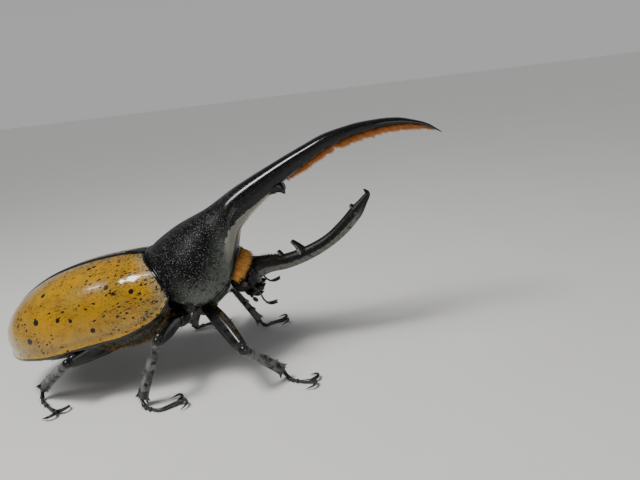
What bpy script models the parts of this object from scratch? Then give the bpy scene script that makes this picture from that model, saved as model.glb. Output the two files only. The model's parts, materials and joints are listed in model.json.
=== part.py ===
"""A male Hercules beetle, life size, standing still on six feet with its nose raised.

The beetle faces +X, its right side faces -Y and it stands on Z = 0. The body is modelled
level on an axis of its own, which starts where the wing cases meet the pronotum, and an
empty then pitches and lifts it. The legs are set out over the floor. Sizes are in
millimetres and become metres as each mesh is made.
"""

import math
import random

import bmesh
import bpy
from mathutils import Matrix, Vector

MM = 0.001
GAP = 0.3
CUT_GAP = 0.36
SEED = 7

# Stance
BODY_PITCH = math.radians(15.0)
BODY_START = Vector((-23.7, 0.0, 40.7))

# Wing cases
CREST_X = -26.0
CREST_Z = 4.0
APEX_X = -53.0
APEX_Z = -11.2
FRONT_Z = 0.0
FRONT_X = -0.35
MARGIN_LINE = [(-53.0, -11.2), (-52.4, -12.4), (-51.0, -13.2), (-48.0, -14.2), (-42.0, -15.0), (-34.0, -16.0),
               (-26.0, -16.5), (-18.0, -17.4), (-12.0, -18.3), (-8.0, -17.9), (-5.0, -16.7), (-2.5, -14.7),
               (-0.35, -12.6)]
CASE_HALF_WIDTH = 21.0
SHOULDER_HALF_WIDTH = 17.4
DOME_FULLNESS = 2.35
REAR_FULLNESS = 2.15
FRONT_BOW = 4.6
BOW_REACH = 16.0
CASE_WALL = 0.8
LINING = CASE_WALL + CUT_GAP
FRONT_SHARE = 0.42

# Underside
WAIST_X = -19.0
BELLY_FULLNESS = 1.75
BELLY_DEPTH = [(-53.0, 0.0), (-48.0, 3.0), (-36.0, 5.4), (-20.0, 6.4), (-12.0, 8.2), (0.0, 8.6), (4.4, 7.6)]
STERNITES = 6
STERNITE_STEP = 0.07
SCUTELLUM = (6.4, 4.2, 1.0)

# Pronotum and thoracic horn, as heights and half widths along the body axis
HORN_TIP_X = 99.4
TOP_LINE = [(0.0, 0.0), (5.0, 2.0), (12.0, 3.8), (21.6, 5.1), (34.5, 8.4), (48.0, 10.8), (58.0, 12.3),
            (66.0, 13.2), (74.4, 12.7), (82.0, 11.3), (88.2, 9.4), (92.2, 7.2), (96.4, 4.2), (99.4, 0.5)]
UNDER_LINE = [(0.0, -14.2), (1.5, -16.0), (4.0, -17.2), (9.0, -18.2), (17.0, -19.0), (21.5, -17.9),
              (24.2, -15.6), (26.0, -12.2), (27.8, -9.0), (30.7, -4.6), (34.1, -2.2), (40.0, 0.5), (48.0, 3.8), (57.6, 6.7),
              (66.0, 8.7), (74.0, 9.2), (81.0, 8.6), (88.0, 7.0), (94.0, 4.4), (97.6, 1.7), (99.4, 0.0)]
SIDE_LINE = [(0.0, 16.2), (4.0, 17.8), (11.0, 19.2), (16.0, 18.8), (20.0, 16.6), (24.0, 12.4), (28.0, 8.9),
             (33.0, 6.5), (40.0, 5.1), (50.0, 4.1), (62.0, 3.5), (78.0, 3.0), (90.0, 2.4), (96.0, 1.8),
             (99.4, 0.9)]
WIDEST_SHARE = [(0.0, 0.07), (18.0, 0.055), (22.0, 0.06), (25.0, 0.16), (31.0, 0.48), (99.4, 0.5)]
# How round a section is: 1 is an ellipse and less is squarer
ROUNDNESS = [(0.0, 0.92), (24.0, 0.92), (34.0, 0.84), (99.4, 0.84)]
HORN_RINGS = [0.0, 0.0, 1.6, 4.5, 8.0, 12.0, 16.0, 19.5, 22.3, 24.3, 26.0, 27.8, 30.0, 33.0, 36.5, 41.0, 46.0,
              51.0, 56.0, 61.0, 66.0, 71.0, 76.0, 81.0, 85.5, 89.5, 93.0, 96.0, 98.3, 99.2, 99.4]
HORN_CUTS = (31.0, 53.0, 76.0)
HORN_NODES = ("pronotum", "thoracic_horn_base", "thoracic_horn_middle", "thoracic_horn_tip")
BIG_TOOTH = [(38.0, 1.2, 3.6), (43.0, 1.9, 4.4), (46.0, 2.5, 4.0), (47.4, 3.4, 2.7), (48.0, 4.2, 1.2)]
BIG_TOOTH_SIZE = [1.0, 2.3, 2.3, 1.2, 0.2]
SMALL_TOOTH = [(64.8, 0.0, 9.7), (65.8, 0.0, 8.3), (66.4, 0.0, 6.9)]
SMALL_TOOTH_SIZE = [1.4, 0.9, 0.15]

# Prosternum
THROAT = [(3.6, 8.4, -14.0, -22.8), (7.0, 11.0, -14.0, -23.8), (13.0, 11.0, -14.0, -24.2),
          (18.0, 7.6, -14.0, -22.6), (20.6, 5.4, -14.0, -21.4)]

# Head, as half width, top and bottom along the body axis
HEAD = [(20.9, 5.2, -15.8, -22.8), (22.4, 6.5, -15.6, -23.8), (24.8, 6.8, -15.4, -24.4),
        (27.0, 5.9, -15.0, -24.2), (29.0, 4.5, -15.0, -23.6)]
HEAD_HORN = [(29.35, 0.0, -18.6), (34.0, 0.0, -18.95), (40.0, 0.0, -20.3), (48.0, 0.0, -20.2),
             (55.0, 0.0, -18.9), (60.8, 0.0, -16.6), (65.7, 0.0, -13.8), (69.7, 0.0, -11.0),
             (71.6, 0.0, -9.3), (71.0, 0.0, -7.5)]
HEAD_HORN_DEPTH = [3.9, 2.9, 2.5, 2.3, 2.15, 2.25, 2.2, 1.35, 0.85, 0.3]
HEAD_HORN_SIDE = [3.6, 2.8, 2.4, 2.1, 1.9, 1.8, 1.7, 1.2, 0.8, 0.3]
HEAD_HORN_CUT = 50.0
HEAD_HORN_TEETH = [
    ((38.2, 0.0, -19.4), (38.7, 0.0, -17.6), (38.4, 0.0, -15.9), 1.9),
    ((45.4, 0.0, -19.4), (44.9, 0.0, -17.0), (43.5, 0.0, -14.5), 2.3),
    ((66.3, 0.0, -13.6), (66.1, 0.0, -11.9), (65.1, 0.0, -10.1), 1.8),
]
HEAD_TOOTH_TAPER = (1.0, 0.56, 0.2)
EYE_PLACE = (25.2, 6.2, -20.2)
EYE_SIZE = (1.5, 1.2, 1.6)
JAWS = [(23.4, 3.4, -23.8, -25.6), (25.6, 4.0, -23.6, -26.4), (28.0, 3.2, -23.4, -26.2),
        (29.6, 1.8, -23.4, -25.2)]

# Feelers and palps over the floor, right side
FEELER = [(7.3, -6.0, 27.0), (9.3, -7.4, 25.9), (10.9, -8.5, 24.2), (11.6, -9.3, 22.8), (12.7, -9.9, 21.8)]
FEELER_SIZE = [0.7, 0.75, 0.44, 0.4, 0.44]
CLUB = [(12.1, -9.7, 21.9), (14.0, -10.3, 21.7), (16.1, -10.9, 22.3)]
CLUB_SIZE = [0.5, 1.05, 0.35]
PALP = [(5.3, -2.6, 23.6), (7.1, -4.4, 22.9), (8.1, -4.9, 21.7), (9.3, -5.2, 20.8)]
PALP_SIZE = [0.5, 0.5, 0.65, 0.4]

# Hips, as places on the body axis, with the size of each coxa
COXA_INSET = 1.6
HIPS = {
    "fore": ((11.6, 8.8, -20.6), (4.2, 4.4, 4.6)),
    "middle": ((2.0, 7.6, -22.6), (3.6, 4.4, 3.4)),
    "hind": ((-13.2, 8.4, -22.0), (4.2, 5.6, 2.9)),
}

# Legs over the floor, right side: knee, ankle and the foot's route
LEGS = {
    "fore": {
        "knee": (5.9, -27.0, 15.0),
        "ankle": (15.4, -20.0, 3.4),
        "foot": [(15.5, -19.95, 2.9), (17.3, -20.9, 0.5), (19.3, -22.4, 0.5), (21.1, -23.2, 0.5),
                 (24.1, -23.8, 0.62)],
        "thigh": (3.1, 2.1),
        "shin": (1.2, 1.6),
        "teeth": (0.50, 0.72, 0.93),
        "outer": (0.3, 0.0, 1.0),
    },
    "middle": {
        "knee": (-18.2, -26.0, 20.5),
        "ankle": (-26.5, -25.0, 2.6),
        "foot": [(-26.6, -25.05, 2.2), (-25.7, -26.6, 0.55), (-23.9, -28.0, 0.5), (-20.9, -29.4, 0.5),
                 (-15.3, -26.4, 0.66)],
        "thigh": (2.7, 1.8),
        "shin": (1.3, 1.6),
        "teeth": (0.55, 0.95),
        "outer": (-1.0, 0.0, 0.0),
    },
    "hind": {
        "knee": (-47.1, -22.0, 15.1),
        "ankle": (-60.9, -13.4, 3.8),
        "foot": [(-61.1, -13.4, 3.2), (-61.2, -15.0, 0.55), (-58.9, -18.0, 0.5), (-55.9, -21.2, 0.5),
                 (-52.7, -24.0, 0.64)],
        "thigh": (2.7, 1.8),
        "shin": (1.25, 1.6),
        "teeth": (0.55, 0.95),
        "outer": (-1.0, 0.0, 0.0),
    },
}
LEFT_STEP = {"fore": -10.0, "middle": 6.0, "hind": -4.0}
KNEE_OVERLAP = 0.05
TOOTH_DEPTH = [0.95, 0.6, 0.14]
TOOTH_SIDE = [0.8, 0.5, 0.14]
SPUR_PLACE = 0.93
SPUR_LENGTH = 3.2
SPUR_SPREAD = 0.8
SPUR_SIZE = [0.6, 0.45, 0.13]
FOOT_SIZE = 0.78
FOOT_JOINTS = 5
JOINT_SWELL = (0.72, 0.86, 1.0)
CLAW = [(-0.5, 0.1, 0.1), (1.2, 1.3, 0.7), (0.9, 3.3, 0.6), (-1.6, 4.2, -0.2)]
CLAW_SIZE = [0.55, 0.5, 0.4, 0.12]

# Fringe of hair under the horn, in locks from one place on the body axis to another
FRINGE_RANGE = (50.0, 95.5)
FRINGE_STEP = 1.7
FRINGE_ASIDE = 1.15
FRINGE_FALL = (1.0, 1.9, 2.1, 2.6, 2.9, 2.8, 1.3)
FRINGE_ROOT = 1.0
FRINGE_LEAN = (1.3, 2.0)
FRINGE_WIDTH = 1.05
FRINGE_THICK = 0.36

# Brush of hair round the front of the pronotum, over the back of the head
BRUSH_LOCKS = 21
BRUSH_TURN = 112.0
BRUSH_BACK_TURN = 70.0
BRUSH_ROOT_X = (24.4, 22.8)
BRUSH_CENTRE_Z = -15.6
BRUSH_RING = (7.2, 4.2)
BRUSH_REACH = 4.6
BRUSH_DROP = 1.6
BRUSH_WIDTH = 1.3
BRUSH_THICK = 0.42

BLACK = (0.012, 0.011, 0.010)
OCHRE = (0.40, 0.25, 0.055)
AMBER = (0.05, 0.03, 0.015)


# Lines and curves

def profile(stations, x):
    """The value at x on a smooth line through (x, value) stations."""
    x = min(max(x, stations[0][0]), stations[-1][0])
    steps = [(b[1] - a[1]) / (b[0] - a[0]) for a, b in zip(stations, stations[1:])]
    inner = [0.0 if a * b <= 0 else 2 * a * b / (a + b) for a, b in zip(steps, steps[1:])]
    slopes = [steps[0], *inner, steps[-1]]
    index = max(i for i in range(len(stations) - 1) if stations[i][0] <= x)
    (x0, y0), (x1, y1) = stations[index], stations[index + 1]
    span = x1 - x0
    t = (x - x0) / span
    rise = y0 * (1 + 2 * t) * (1 - t) ** 2 + y1 * t * t * (3 - 2 * t)
    return rise + span * (slopes[index] * t * (1 - t) ** 2 - slopes[index + 1] * t * t * (1 - t))


def along(points, t):
    """The place at t, from 0 to 1, on a smooth curve through points."""
    points = [Vector(p) for p in points]
    scaled = min(max(t, 0.0), 1.0) * (len(points) - 1)
    index = min(int(scaled), len(points) - 2)
    f = scaled - index
    p1, p2 = points[index], points[index + 1]
    p0 = points[index - 1] if index else p1 * 2 - p2
    p3 = points[index + 2] if index + 2 < len(points) else p2 * 2 - p1
    return 0.5 * (2 * p1 + (p2 - p0) * f + (2 * p0 - 5 * p1 + 4 * p2 - p3) * f * f
                  + (3 * p1 - p0 - 3 * p2 + p3) * f ** 3)


def size_along(sizes, t):
    """A size read from an even list of sizes at t, from 0 to 1."""
    return profile([(i / (len(sizes) - 1), size) for i, size in enumerate(sizes)], t)


def signed_power(value, power):
    return math.copysign(abs(value) ** power, value)


# Meshes and objects

def object_from(bm, name, parent=None):
    """An object from a mesh in millimetres, with its faces turned out."""
    bmesh.ops.recalc_face_normals(bm, faces=bm.faces)
    if bm.calc_volume(signed=True) < 0:
        bmesh.ops.reverse_faces(bm, faces=bm.faces)
    return placed(bm, name, parent)


def placed(bm, name, parent):
    bmesh.ops.scale(bm, vec=(MM, MM, MM), verts=bm.verts)
    mesh = bpy.data.meshes.new(name)
    bm.to_mesh(mesh)
    bm.free()
    piece = bpy.data.objects.new(name, mesh)
    bpy.context.scene.collection.objects.link(piece)
    piece.parent = parent
    bpy.context.view_layer.update()
    return piece


def rounded(name, sides, rings, shape, parent=None):
    """A closed body from a sphere, where shape(ring, angle) places each point."""
    bm = bmesh.new()
    bmesh.ops.create_uvsphere(bm, u_segments=sides, v_segments=rings, radius=1.0)
    for vertex in bm.verts:
        x, y, z = vertex.co
        ring = round(math.acos(max(-1.0, min(1.0, z))) / math.pi * rings)
        vertex.co = shape(ring, math.atan2(y, x))
    return object_from(bm, name, parent)


def limb(name, points, depth, side, up=(0, 0, 1), sides=8, rings=10, parent=None, blunt=0.35):
    """A tapering body along a curve: depth lies towards up and side across it."""
    up = Vector(up)

    def shape(ring, angle):
        t = min(max((ring - blunt) / (rings - 2 * blunt), 0.0), 1.0)
        swell = 0.0 if ring in (0, rings) else 1.0
        tangent = (along(points, min(t + 0.02, 1.0)) - along(points, max(t - 0.02, 0.0))).normalized()
        across = tangent.cross(up).normalized()
        lift = across.cross(tangent)
        return (along(points, t) + across * math.cos(angle) * size_along(side, t) * swell
                + lift * math.sin(angle) * size_along(depth, t) * swell)

    return rounded(name, sides, rings, shape, parent)


def bead(name, centre, size, sides=12, rings=8, parent=None):
    """An ellipsoid."""
    bm = bmesh.new()
    bmesh.ops.create_uvsphere(bm, u_segments=sides, v_segments=rings, radius=1.0)
    bmesh.ops.scale(bm, vec=size, verts=bm.verts)
    bmesh.ops.translate(bm, vec=centre, verts=bm.verts)
    return object_from(bm, name, parent)


def apply_modifiers(piece):
    graph = bpy.context.evaluated_depsgraph_get()
    mesh = bpy.data.meshes.new_from_object(piece.evaluated_get(graph))
    piece.modifiers.clear()
    piece.data = mesh


def surface_parts(bm):
    """The connected sets of faces of a mesh."""
    waiting = set(bm.faces)
    while waiting:
        part = set()
        front = [waiting.pop()]
        while front:
            face = front.pop()
            part.add(face)
            for edge in face.edges:
                for neighbour in edge.link_faces:
                    if neighbour in waiting:
                        waiting.remove(neighbour)
                        front.append(neighbour)
        yield part


def volume_of(faces):
    total = 0.0
    for face in faces:
        first = face.verts[0].co
        for a, b in zip(face.verts[1:], face.verts[2:]):
            total += first.dot(a.co.cross(b.co)) / 6.0
    return total


def keep_largest(piece):
    """Keeps the largest closed surface of a piece, and closes up what a Boolean left split."""
    bm = bmesh.new()
    bm.from_mesh(piece.data)
    bmesh.ops.remove_doubles(bm, verts=bm.verts, dist=0.002 * MM)
    parts = list(surface_parts(bm))
    best = max(parts, key=lambda part: abs(volume_of(part)))
    bmesh.ops.delete(bm, geom=[face for part in parts if part is not best for face in part], context="FACES")
    bm.to_mesh(piece.data)
    bm.free()


def fuse(piece, extras):
    """Joins the extras to a piece and uses them up."""
    group = bpy.data.collections.new(piece.name + "_extras")
    for extra in extras:
        group.objects.link(extra)
    union = piece.modifiers.new("fuse", "BOOLEAN")
    union.operation = "UNION"
    union.operand_type = "COLLECTION"
    union.collection = group
    apply_modifiers(piece)
    for extra in extras:
        bpy.data.objects.remove(extra)
    bpy.data.collections.remove(group)
    keep_largest(piece)


def fattened(piece, by=CUT_GAP):
    """A hidden copy of a piece with its surface moved out."""
    cutter = bpy.data.objects.new(piece.name + "_cutter", piece.data.copy())
    bpy.context.scene.collection.objects.link(cutter)
    cutter.matrix_world = piece.matrix_world
    cutter.hide_render = True
    cutter.display_type = "WIRE"
    bm = bmesh.new()
    bm.from_mesh(cutter.data)
    bm.normal_update()
    moves = [(vertex, vertex.normal * by * MM) for vertex in bm.verts]
    for vertex, move in moves:
        vertex.co += move
    bm.to_mesh(cutter.data)
    bm.free()
    return cutter


def clear_of(piece, *others, solver="EXACT"):
    """Cuts a piece back so that it meets the others with a gap."""
    for other in others:
        cutter = fattened(other)
        bpy.context.view_layer.update()
        cut = piece.modifiers.new("clear", "BOOLEAN")
        cut.operation = "DIFFERENCE"
        cut.solver = solver
        cut.object = cutter
        apply_modifiers(piece)
        bpy.data.objects.remove(cutter)
        keep_largest(piece)


def cut_away(piece, point, normal):
    """Removes what lies on the normal's side of a plane in the piece's own frame, and closes the cut."""
    bm = bmesh.new()
    bm.from_mesh(piece.data)
    geometry = bm.verts[:] + bm.edges[:] + bm.faces[:]
    result = bmesh.ops.bisect_plane(bm, geom=geometry, plane_co=Vector(point) * MM, plane_no=normal,
                                    clear_outer=True)
    rim = [item for item in result["geom_cut"] if isinstance(item, bmesh.types.BMEdge)]
    bmesh.ops.contextual_create(bm, geom=rim)
    bmesh.ops.recalc_face_normals(bm, faces=bm.faces)
    bm.to_mesh(piece.data)
    bm.free()


def section(whole, name, low, high):
    """A copy of the length of a whole between two places on the body axis."""
    piece = bpy.data.objects.new(name, whole.data.copy())
    bpy.context.scene.collection.objects.link(piece)
    piece.parent = whole.parent
    if high is not None:
        cut_away(piece, (high - GAP / 2, 0, 0), (1, 0, 0))
    if low is not None:
        cut_away(piece, (low + GAP / 2, 0, 0), (-1, 0, 0))
    bpy.context.view_layer.update()
    return piece


def finish(piece, colour, roughness=0.3, metallic=0.0):
    """Gives a node its material and smooth shading."""
    material = bpy.data.materials.new(piece.name)
    material.use_nodes = True
    shader = material.node_tree.nodes["Principled BSDF"]
    shader.inputs["Base Color"].default_value = (*colour, 1.0)
    shader.inputs["Roughness"].default_value = roughness
    shader.inputs["Metallic"].default_value = metallic
    piece.data.materials.clear()
    piece.data.materials.append(material)
    piece.data.shade_smooth()
    piece.data.set_sharp_from_angle(angle=math.radians(35.0))
    return piece


# Body

def front_bow(x, y):
    """How far the seam between pronotum and wing cases runs forward at the sides."""
    fade = max(0.0, 1.0 - abs(x) / BOW_REACH)
    return FRONT_BOW * (y / 15.0) ** 2 * fade * fade * (3 - 2 * fade)


def dome_ring(u, inset):
    """Place on the axis, half width, crest and margin of the wing cases, from front to apex."""
    if u < FRONT_SHARE:
        share = u / FRONT_SHARE
        x = FRONT_X + (CREST_X - FRONT_X) * share
        half = CASE_HALF_WIDTH - (CASE_HALF_WIDTH - SHOULDER_HALF_WIDTH) * (1 - share) ** 2
        crest = CREST_Z - (CREST_Z - FRONT_Z) * (1 - share) ** 2 - inset
    else:
        turn = (u - FRONT_SHARE) / (1 - FRONT_SHARE) * math.pi / 2
        x = CREST_X - (CREST_X - APEX_X - inset) * math.sin(turn)
        half = CASE_HALF_WIDTH * max(math.cos(turn), 0.0) ** (2 / REAR_FULLNESS)
        crest = APEX_Z + (CREST_Z - APEX_Z - inset) * max(math.cos(turn), 0.0)
    return x, max(half - inset, 0.0), crest, profile(MARGIN_LINE, x)


def wing_case(side, body):
    bm = bmesh.new()
    bmesh.ops.create_grid(bm, x_segments=17, y_segments=9, size=1.0)
    for vertex in bm.verts:
        x, half, crest, margin = dome_ring((1 - vertex.co.x) / 2, 0.0)
        turn = (vertex.co.y + 1) / 2 * math.pi / 2
        y = max(half * math.sin(turn) ** (2 / DOME_FULLNESS), GAP / 2)
        z = margin + (crest - margin) * max(math.cos(turn), 0.0) ** (2 / DOME_FULLNESS)
        vertex.co = (x + front_bow(x, y), side * y, z)
    bmesh.ops.remove_doubles(bm, verts=bm.verts, dist=0.05)
    bmesh.ops.recalc_face_normals(bm, faces=bm.faces)
    if sum(face.normal.z for face in bm.faces) < 0:
        bmesh.ops.reverse_faces(bm, faces=bm.faces)
    piece = placed(bm, "elytron_" + side_name(side), body)
    wall = piece.modifiers.new("wall", "SOLIDIFY")
    wall.thickness = CASE_WALL * MM
    wall.offset = -1.0
    apply_modifiers(piece)
    return piece


def underside(body):
    """Abdomen and hind thorax in one, under the wing cases."""
    rings = 21

    def shape(ring, angle):
        u = max(ring - 1, 0) / (rings - 2)
        u = min(u, 1.0)
        x, half, crest, margin = dome_ring(u, LINING)
        across = math.cos(angle)
        rise = math.sin(angle)
        if ring == 0:
            return Vector((x + 0.2, 0.0, (crest + margin) / 2))
        if rise >= 0:
            y = half * signed_power(across, 2 / DOME_FULLNESS)
            z = margin + (crest - margin) * rise ** (2 / DOME_FULLNESS)
        else:
            step = 1.0
            if x < WAIST_X:
                place = (x - APEX_X) / (WAIST_X - APEX_X) * STERNITES
                step = 1.0 - STERNITE_STEP * (place - math.floor(place))
            y = half * signed_power(across, 2 / BELLY_FULLNESS)
            z = margin - profile(BELLY_DEPTH, x) * step * abs(rise) ** (2 / BELLY_FULLNESS)
        return Vector((x + front_bow(x, y), y, z))

    return rounded("underside", 20, rings, shape, body)


def scutellum(body):
    length, half, thick = SCUTELLUM
    bm = bmesh.new()
    bmesh.ops.create_cone(bm, cap_ends=True, segments=3, radius1=1.0, radius2=1.0, depth=thick)
    bmesh.ops.rotate(bm, cent=(0, 0, 0), matrix=Matrix.Rotation(math.pi / 2, 3, "Z"), verts=bm.verts)
    back = min(vertex.co.x for vertex in bm.verts)
    front = max(vertex.co.x for vertex in bm.verts)
    wide = max(vertex.co.y for vertex in bm.verts)
    if sum(1 for vertex in bm.verts if vertex.co.x < back + 0.01) > 2:
        bmesh.ops.rotate(bm, cent=(0, 0, 0), matrix=Matrix.Rotation(math.pi, 3, "Z"), verts=bm.verts)
        back, front = -front, -back
    for vertex in bm.verts:
        share = (vertex.co.x - back) / (front - back)
        x = FRONT_X - length * (1 - share)
        vertex.co.x = x
        vertex.co.y *= half / wide
        vertex.co.z += dome_ring((FRONT_X - x) / (FRONT_X - CREST_X) * FRONT_SHARE, 0.0)[2] - thick / 2 + 0.2
    bmesh.ops.bevel(bm, geom=bm.edges[:], offset=0.18, affect="EDGES", segments=1, profile=0.5, material=-1)
    return object_from(bm, "scutellum", body)


def shield_and_horn(body):
    """Pronotum and thoracic horn as one surface along the body axis."""

    def shape(ring, angle):
        x = HORN_RINGS[ring]
        top = profile(TOP_LINE, x)
        under = profile(UNDER_LINE, x)
        level = under + (top - under) * profile(WIDEST_SHARE, x)
        if ring in (0, len(HORN_RINGS) - 1):
            return Vector((x, 0.0, (top + under) / 2))
        roundness = profile(ROUNDNESS, x)
        y = profile(SIDE_LINE, x) * signed_power(math.cos(angle), roundness)
        rise = math.sin(angle)
        reach = top - level if rise >= 0 else level - under
        z = level + reach * signed_power(rise, roundness)
        return Vector((x + front_bow(x, y), y, z))

    return rounded("shield_and_horn", 20, len(HORN_RINGS) - 1, shape, body)


def boxed_loft(name, stations, body, sides=16):
    """A round-sided body through (x, half width, top, bottom) stations."""
    rings = len(stations) + 1

    def shape(ring, angle):
        x, half, top, bottom = stations[min(max(ring - 1, 0), len(stations) - 1)]
        middle = (top + bottom) / 2
        if ring in (0, rings):
            return Vector((x, 0.0, middle))
        y = half * signed_power(math.cos(angle), 0.85)
        z = middle + (top - bottom) / 2 * signed_power(math.sin(angle), 0.85)
        return Vector((x, y, z))

    return rounded(name, sides, rings, shape, body)


def tooth(points, sizes, parent, up=(1, 0, 0.2), sides=6, rings=5):
    return limb("tooth", points, sizes, sizes, up=up, sides=sides, rings=rings, parent=parent, blunt=0.0)


def lock(root, bend, tip, width, thick, face, parent):
    """A flat tapered lock of hair from its root over a bend to its tip."""
    depth = [thick, thick * 0.9, thick * 0.3]
    side = [width * 0.8, width, width * 0.12]
    return limb("lock", [root, bend, tip], depth, side, up=face, sides=4, rings=4, parent=parent, blunt=0.0)


def fringe_locks(low, high, body, draw):
    """Two rows of locks along the groove under the horn, leaning towards its tip."""
    first, last = FRINGE_RANGE
    count = int((last - first) / FRINGE_STEP)
    locks = []
    for index in range(count):
        for side in (-1, 1):
            x = first + FRINGE_STEP * (index + 0.25 + 0.25 * side) + draw.uniform(-0.25, 0.25)
            fall = size_along(FRINGE_FALL, index / count) * draw.uniform(0.85, 1.12)
            lean = draw.uniform(*FRINGE_LEAN)
            if low + FRINGE_WIDTH < x < high - FRINGE_WIDTH - lean:
                under = profile(UNDER_LINE, x)
                aside = side * min(FRINGE_ASIDE, 0.45 * profile(SIDE_LINE, x))
                root = (x, aside, under + FRINGE_ROOT)
                bend = (x + 0.35 * lean, aside * 1.1, under - 0.5 * fall)
                tip = (x + lean, aside * 0.75, under - fall)
                locks.append(lock(root, bend, tip, FRINGE_WIDTH, FRINGE_THICK, (0, 1, 0), body))
    return locks


def brush_locks(body, draw):
    """The brush on the pronotum's front edge, which lies over the back of the head."""
    locks = []
    for index in range(BRUSH_LOCKS):
        turn = BRUSH_TURN * (2 * index / (BRUSH_LOCKS - 1) - 1) + draw.uniform(-2, 2)
        outward = Vector((0.0, math.sin(math.radians(turn)), math.cos(math.radians(turn))))
        x = BRUSH_ROOT_X[0] if abs(turn) < BRUSH_BACK_TURN else BRUSH_ROOT_X[1]
        root = Vector((x, BRUSH_RING[0] * outward.y, BRUSH_CENTRE_Z + BRUSH_RING[1] * outward.z))
        reach = BRUSH_REACH * draw.uniform(0.85, 1.1)
        tip = root + Vector((reach, 0.5 * outward.y, 0.4 * outward.z - BRUSH_DROP))
        bend = (root + tip) / 2 + outward
        locks.append(lock(root, bend, tip, BRUSH_WIDTH, BRUSH_THICK, outward, body))
    return locks


def eye(side, body):
    place = (EYE_PLACE[0], side * EYE_PLACE[1], EYE_PLACE[2])
    return bead("eye_left" if side > 0 else "eye_right", place, EYE_SIZE, parent=body)


def mirrored(points, side, step=0.0):
    """Right side points, carried to the left side and moved along by a step."""
    return [(x + (step if side > 0 else 0.0), -y if side > 0 else y, z) for x, y, z in points]


def side_name(side):
    return "left" if side > 0 else "right"


def feeler(side):
    name = "antenna_" + side_name(side)
    stem = limb(name, mirrored(FEELER, side), FEELER_SIZE, FEELER_SIZE, sides=6, rings=10)
    club = limb("club", mirrored(CLUB, side), CLUB_SIZE, [s * 0.7 for s in CLUB_SIZE], sides=8, rings=6)
    fuse(stem, [club])
    return stem


def palp(side):
    return limb("palp_" + side_name(side), mirrored(PALP, side), PALP_SIZE, PALP_SIZE, sides=6, rings=8)


# Legs

def body_to_floor(place):
    return Matrix.Rotation(-BODY_PITCH, 3, "Y") @ Vector(place) + BODY_START


def coxa(pair, side, body):
    """The hip joint that a leg grows from."""
    (x, y, z), size = HIPS[pair]
    return bead("coxa", (x, side * (y - COXA_INSET), z), size, sides=12, rings=8, parent=body)


def leg(pair, side):
    """Femur, tibia and tarsus of one leg."""
    plan = LEGS[pair]
    hip = HIPS[pair][0]
    hip = body_to_floor((hip[0], side * hip[1], hip[2]))
    places = mirrored([plan["knee"], plan["ankle"], *plan["foot"]], side, LEFT_STEP[pair])
    knee, ankle, *route = [Vector(place) for place in places]
    name = "_" + pair + "_" + side_name(side)
    thick, thin = plan["thigh"]
    middle = hip.lerp(knee, 0.5) + Vector((0, 0, 0.5))
    depth = [thick * 0.7, thick * 1.08, thick * 0.62]
    across = [thin * 0.9, thin, thin * 0.85]
    femur = limb("femur" + name, [hip, middle, knee], depth, across, sides=10, rings=9)
    slim, broad = plan["shin"]
    start = knee.lerp(ankle, -KNEE_OVERLAP)
    tibia = limb("tibia" + name, [start, start.lerp(ankle, 0.5), ankle], [slim, broad * 0.85, broad],
                 [slim * 0.9, slim * 0.95, slim], sides=8, rings=8)
    fuse(tibia, shin_teeth(plan, start, ankle))
    clear_of(tibia, femur)
    return femur, tibia, foot(name, route, tibia)


def shin_teeth(plan, start, ankle):
    """Teeth along the outer edge of a tibia and two spurs inside the ankle."""
    broad = plan["shin"][1]
    line = (ankle - start).normalized()
    outer = Vector(plan["outer"])
    outer = (outer - line * outer.dot(line)).normalized()
    teeth = []
    for share in plan["teeth"]:
        root = start.lerp(ankle, share) + outer * broad * 0.4
        tip = root + outer * broad * 0.95 + line * broad * 0.75
        teeth.append(limb("tooth", [root, root.lerp(tip, 0.5), tip], TOOTH_DEPTH, TOOTH_SIDE,
                          up=line, sides=5, rings=3, blunt=0.0))
    for lean in (-1, 1):
        root = start.lerp(ankle, SPUR_PLACE) - outer * broad * 0.35
        tip = root + (line * 0.7 - outer * 0.55) * SPUR_LENGTH + Vector((0, lean * SPUR_SPREAD, 0))
        tip.z = max(tip.z, SPUR_SIZE[0])
        teeth.append(limb("spur", [root, root.lerp(tip, 0.5), tip], SPUR_SIZE, SPUR_SIZE,
                          up=outer, sides=4, rings=3, blunt=0.0))
    return teeth


def foot(name, route, tibia):
    """Five short joints along the floor, two claws, and a flat to stand on."""
    rings = FOOT_JOINTS * len(JOINT_SWELL)

    def shape(ring, angle):
        t = ring / rings
        tangent = (along(route, min(t + 0.02, 1.0)) - along(route, max(t - 0.02, 0.0))).normalized()
        across = tangent.cross(Vector((0.05, 0.02, 1))).normalized()
        lift = across.cross(tangent)
        swell = 0.0 if ring in (0, rings) else FOOT_SIZE * JOINT_SWELL[ring % len(JOINT_SWELL)]
        return along(route, t) + (across * math.cos(angle) + lift * math.sin(angle)) * swell

    piece = rounded("tarsus" + name, 6, rings, shape)
    end = route[-1]
    ahead = (end - along(route, 0.86)).normalized()
    ahead.z = 0.0
    aside = ahead.cross(Vector((0, 0, 1))).normalized()
    claws = []
    for lean in (-1, 1):
        points = [end + ahead * a + aside * b * lean + Vector((0, 0, rise)) for a, b, rise in CLAW]
        claws.append(limb("claw", points, CLAW_SIZE, CLAW_SIZE, sides=5, rings=6, blunt=0.0))
    fuse(piece, claws)
    cut_away(piece, (0, 0, 0), (0, 0, -1))
    clear_of(piece, tibia)
    return piece


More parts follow.
